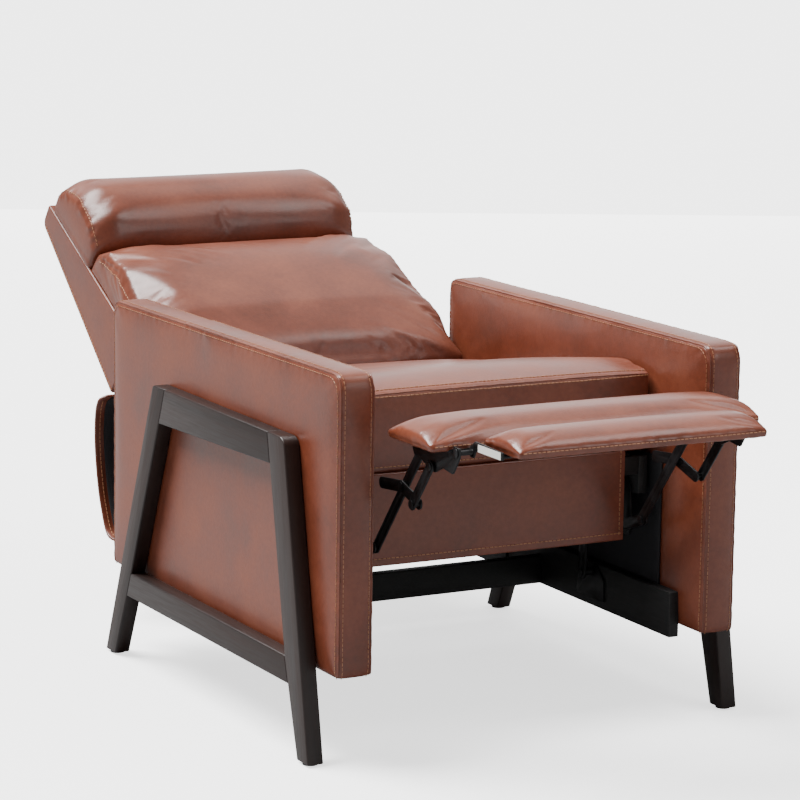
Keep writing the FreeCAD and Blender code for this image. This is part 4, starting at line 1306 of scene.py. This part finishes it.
# ----------------------------------------------------------------- steel works
@dataclass
class Works:
    """The links, plates and base boards that come straight from the frame."""

    steel: tuple[str, ...] = ("base_plates", "seat_hinge_brackets", "back_hinge_plates",
                              "flipper_plates")
    side_steel: tuple[str, ...] = ("front_swing_link", "rear_swing_link", "seat_plate", "rear_link",
                                   "long_link", "cross_link", "short_link", "ottoman_bracket")

    def finish_node(self, node: str, finish: Finish, soften: float = 0.0) -> None:
        """Dress a CAD node, with its edges broken where soften is given."""
        obj = frame["nodes"][node]
        if soften <= 0:
            dress(obj, WARDROBE.get(finish))
            return
        piece = cad_copy(node, f"made_{node}")
        bevel(piece, soften, 2, 30)
        smooth(piece, 40)
        dress(piece, WARDROBE.get(finish))
        mount(piece, obj["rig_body"], HARD_SLOTS[finish.name], node)

    def build(self) -> None:
        """Dress every hard node."""
        for node in self.steel:
            self.finish_node(node, STEEL, 0.5)
        for side, _ in SIDES:
            for part in self.side_steel:
                self.finish_node(f"{side}_{part}", STEEL, 0.5)
            self.finish_node(f"{side}_base_rail", BLACK_BOARD, 1.5)
            self.finish_node(f"{side}_seat_rail", BLACK_BOARD, 1.5)
            self.finish_node(f"{side}_arm_frame", RAW_BOARD)
        for node in ("cross_rails", "seat_front_rail", "seat_rear_rail", "back_frame"):
            self.finish_node(node, BLACK_BOARD, 1.5)
        self.finish_node("back_springs", RIVET)
        self.finish_node("arm_dust_covers", LINING)
        for node in ("foot_glides", "frame_spacers"):
            self.finish_node(node, PLASTIC, 0.6)
        self.finish_node("blank_label", PAPER)
        log.info("works dressed")


# ----------------------------------------------------------------------- stage
@dataclass
class Studio:
    """Camera, floor and soft light."""

    eye: Vector = field(default_factory=lambda: Vector((-2.585, -4.9006, 1.481)))
    target: Vector = field(default_factory=lambda: Vector((0.2758, 0.4452, 0.350)))
    roll: float = 0.82
    lens: float = 152.5
    fill: float = 0.24
    backdrop: float = 14.0
    overhead: float = 9.0
    glow: float = 1.6

    def camera(self) -> None:
        """Place the camera at the known viewpoint."""
        data = bpy.data.cameras.new("studio camera")
        data.lens = self.lens
        data.sensor_width = 36.0
        data.clip_end = 60.0
        cam = new_object("studio camera", data)
        aim = (self.target - self.eye).to_track_quat("-Z", "Y")
        cam.rotation_mode = "QUATERNION"
        cam.rotation_quaternion = aim @ Quaternion((0, 0, 1), math.radians(self.roll))
        cam.location = self.eye
        bpy.context.scene.camera = cam

    def lamp(self, name: str, place_at: Vector, size: float, power: float) -> None:
        """Add one soft box aimed at the chair's middle."""
        aim = Vector((0, 0, 0.35))
        data = bpy.data.lights.new(name, "AREA")
        data.shape = "SQUARE"
        data.size = size
        data.energy = power
        lamp = new_object(name, data)
        lamp.location = place_at
        lamp.visible_camera = False
        lamp.rotation_euler = (aim - place_at).to_track_quat("-Z", "Y").to_euler()

    def floor(self) -> None:
        """A wide pale floor."""
        bm = bmesh.new()
        size = 60.0
        verts = [bm.verts.new((x, y, -0.0005)) for x, y in
                 ((-size, -size), (size, -size), (size, size), (-size, size))]
        bm.faces.new(verts)
        ground = from_bmesh("studio_floor", bm)
        material = bpy.data.materials.new("matt white floor")
        material.use_nodes = True
        shader = material.node_tree.nodes["Principled BSDF"]
        shader.inputs["Base Color"].default_value = srgb("#fbfbfb")
        shader.inputs["Roughness"].default_value = 0.8
        tree = material.node_tree
        path = add_node(tree, "ShaderNodeLightPath")
        lift = add_node(tree, "ShaderNodeMath", {"operation": "MULTIPLY", 1: self.glow},
                        {0: path.outputs["Is Camera Ray"]})
        shade = add_node(tree, "ShaderNodeMath", {"operation": "MULTIPLY_ADD", 1: 0.64, 2: 0.3},
                         {0: path.outputs["Is Camera Ray"]})
        tree.links.new(shade.outputs[0], shader.inputs["Base Color"])
        shader.inputs["Emission Color"].default_value = (1.0, 1.0, 1.0, 1.0)
        tree.links.new(lift.outputs[0], shader.inputs["Emission Strength"])
        dress(ground, material)

    def build(self) -> None:
        """Set the stage."""
        self.camera()
        self.floor()
        world = bpy.data.worlds.new("studio")
        world.use_nodes = True
        tree = world.node_tree
        around = tree.nodes["Background"]
        around.inputs["Color"].default_value = (1.0, 0.99, 0.98, 1.0)
        around.inputs["Strength"].default_value = self.fill
        sweep = add_node(tree, "ShaderNodeBackground", {"Color": (1.0, 1.0, 1.0, 1.0),
                                                        "Strength": self.backdrop})
        path = add_node(tree, "ShaderNodeLightPath")
        blend = add_node(tree, "ShaderNodeMixShader", None,
                         {0: path.outputs["Is Camera Ray"], 1: around.outputs[0],
                          2: sweep.outputs[0]})
        tree.links.new(blend.outputs[0], tree.nodes["World Output"].inputs["Surface"])
        bpy.context.scene.world = world
        data = bpy.data.lights.new("overhead silk", "SUN")
        data.energy = self.overhead
        data.angle = math.radians(38.0)
        silk = new_object("overhead silk", data)
        silk.rotation_euler = Vector((1.1, -1.0, -2.7)).to_track_quat("-Z", "Y").to_euler()
        for name, spot, size, power in (("left box", (-3.6, -0.6, 1.7), 1.8, 9.0),
                                        ("front box", (1.8, -4.4, 2.6), 1.6, 34.0),
                                        ("top box", (1.7, 1.5, 2.9), 2.0, 18.0),
                                        ("head box", (1.5, -0.9, 3.2), 1.2, 26.0),
                                        ("rear wall", (2.4, 5.0, 1.5), 4.2, 80.0)):
            self.lamp(name, Vector(spot), size, power)


def main() -> None:
    """Build every piece in order."""
    logging.basicConfig(level=logging.INFO, format="%(name)s: %(message)s")
    for part in (Studio(), WoodenSides(), Arms(), Seat(), Back(), RearSkirt(), Footrest(), Works()):
        part.build()


if __name__ == "__main__":
    main()
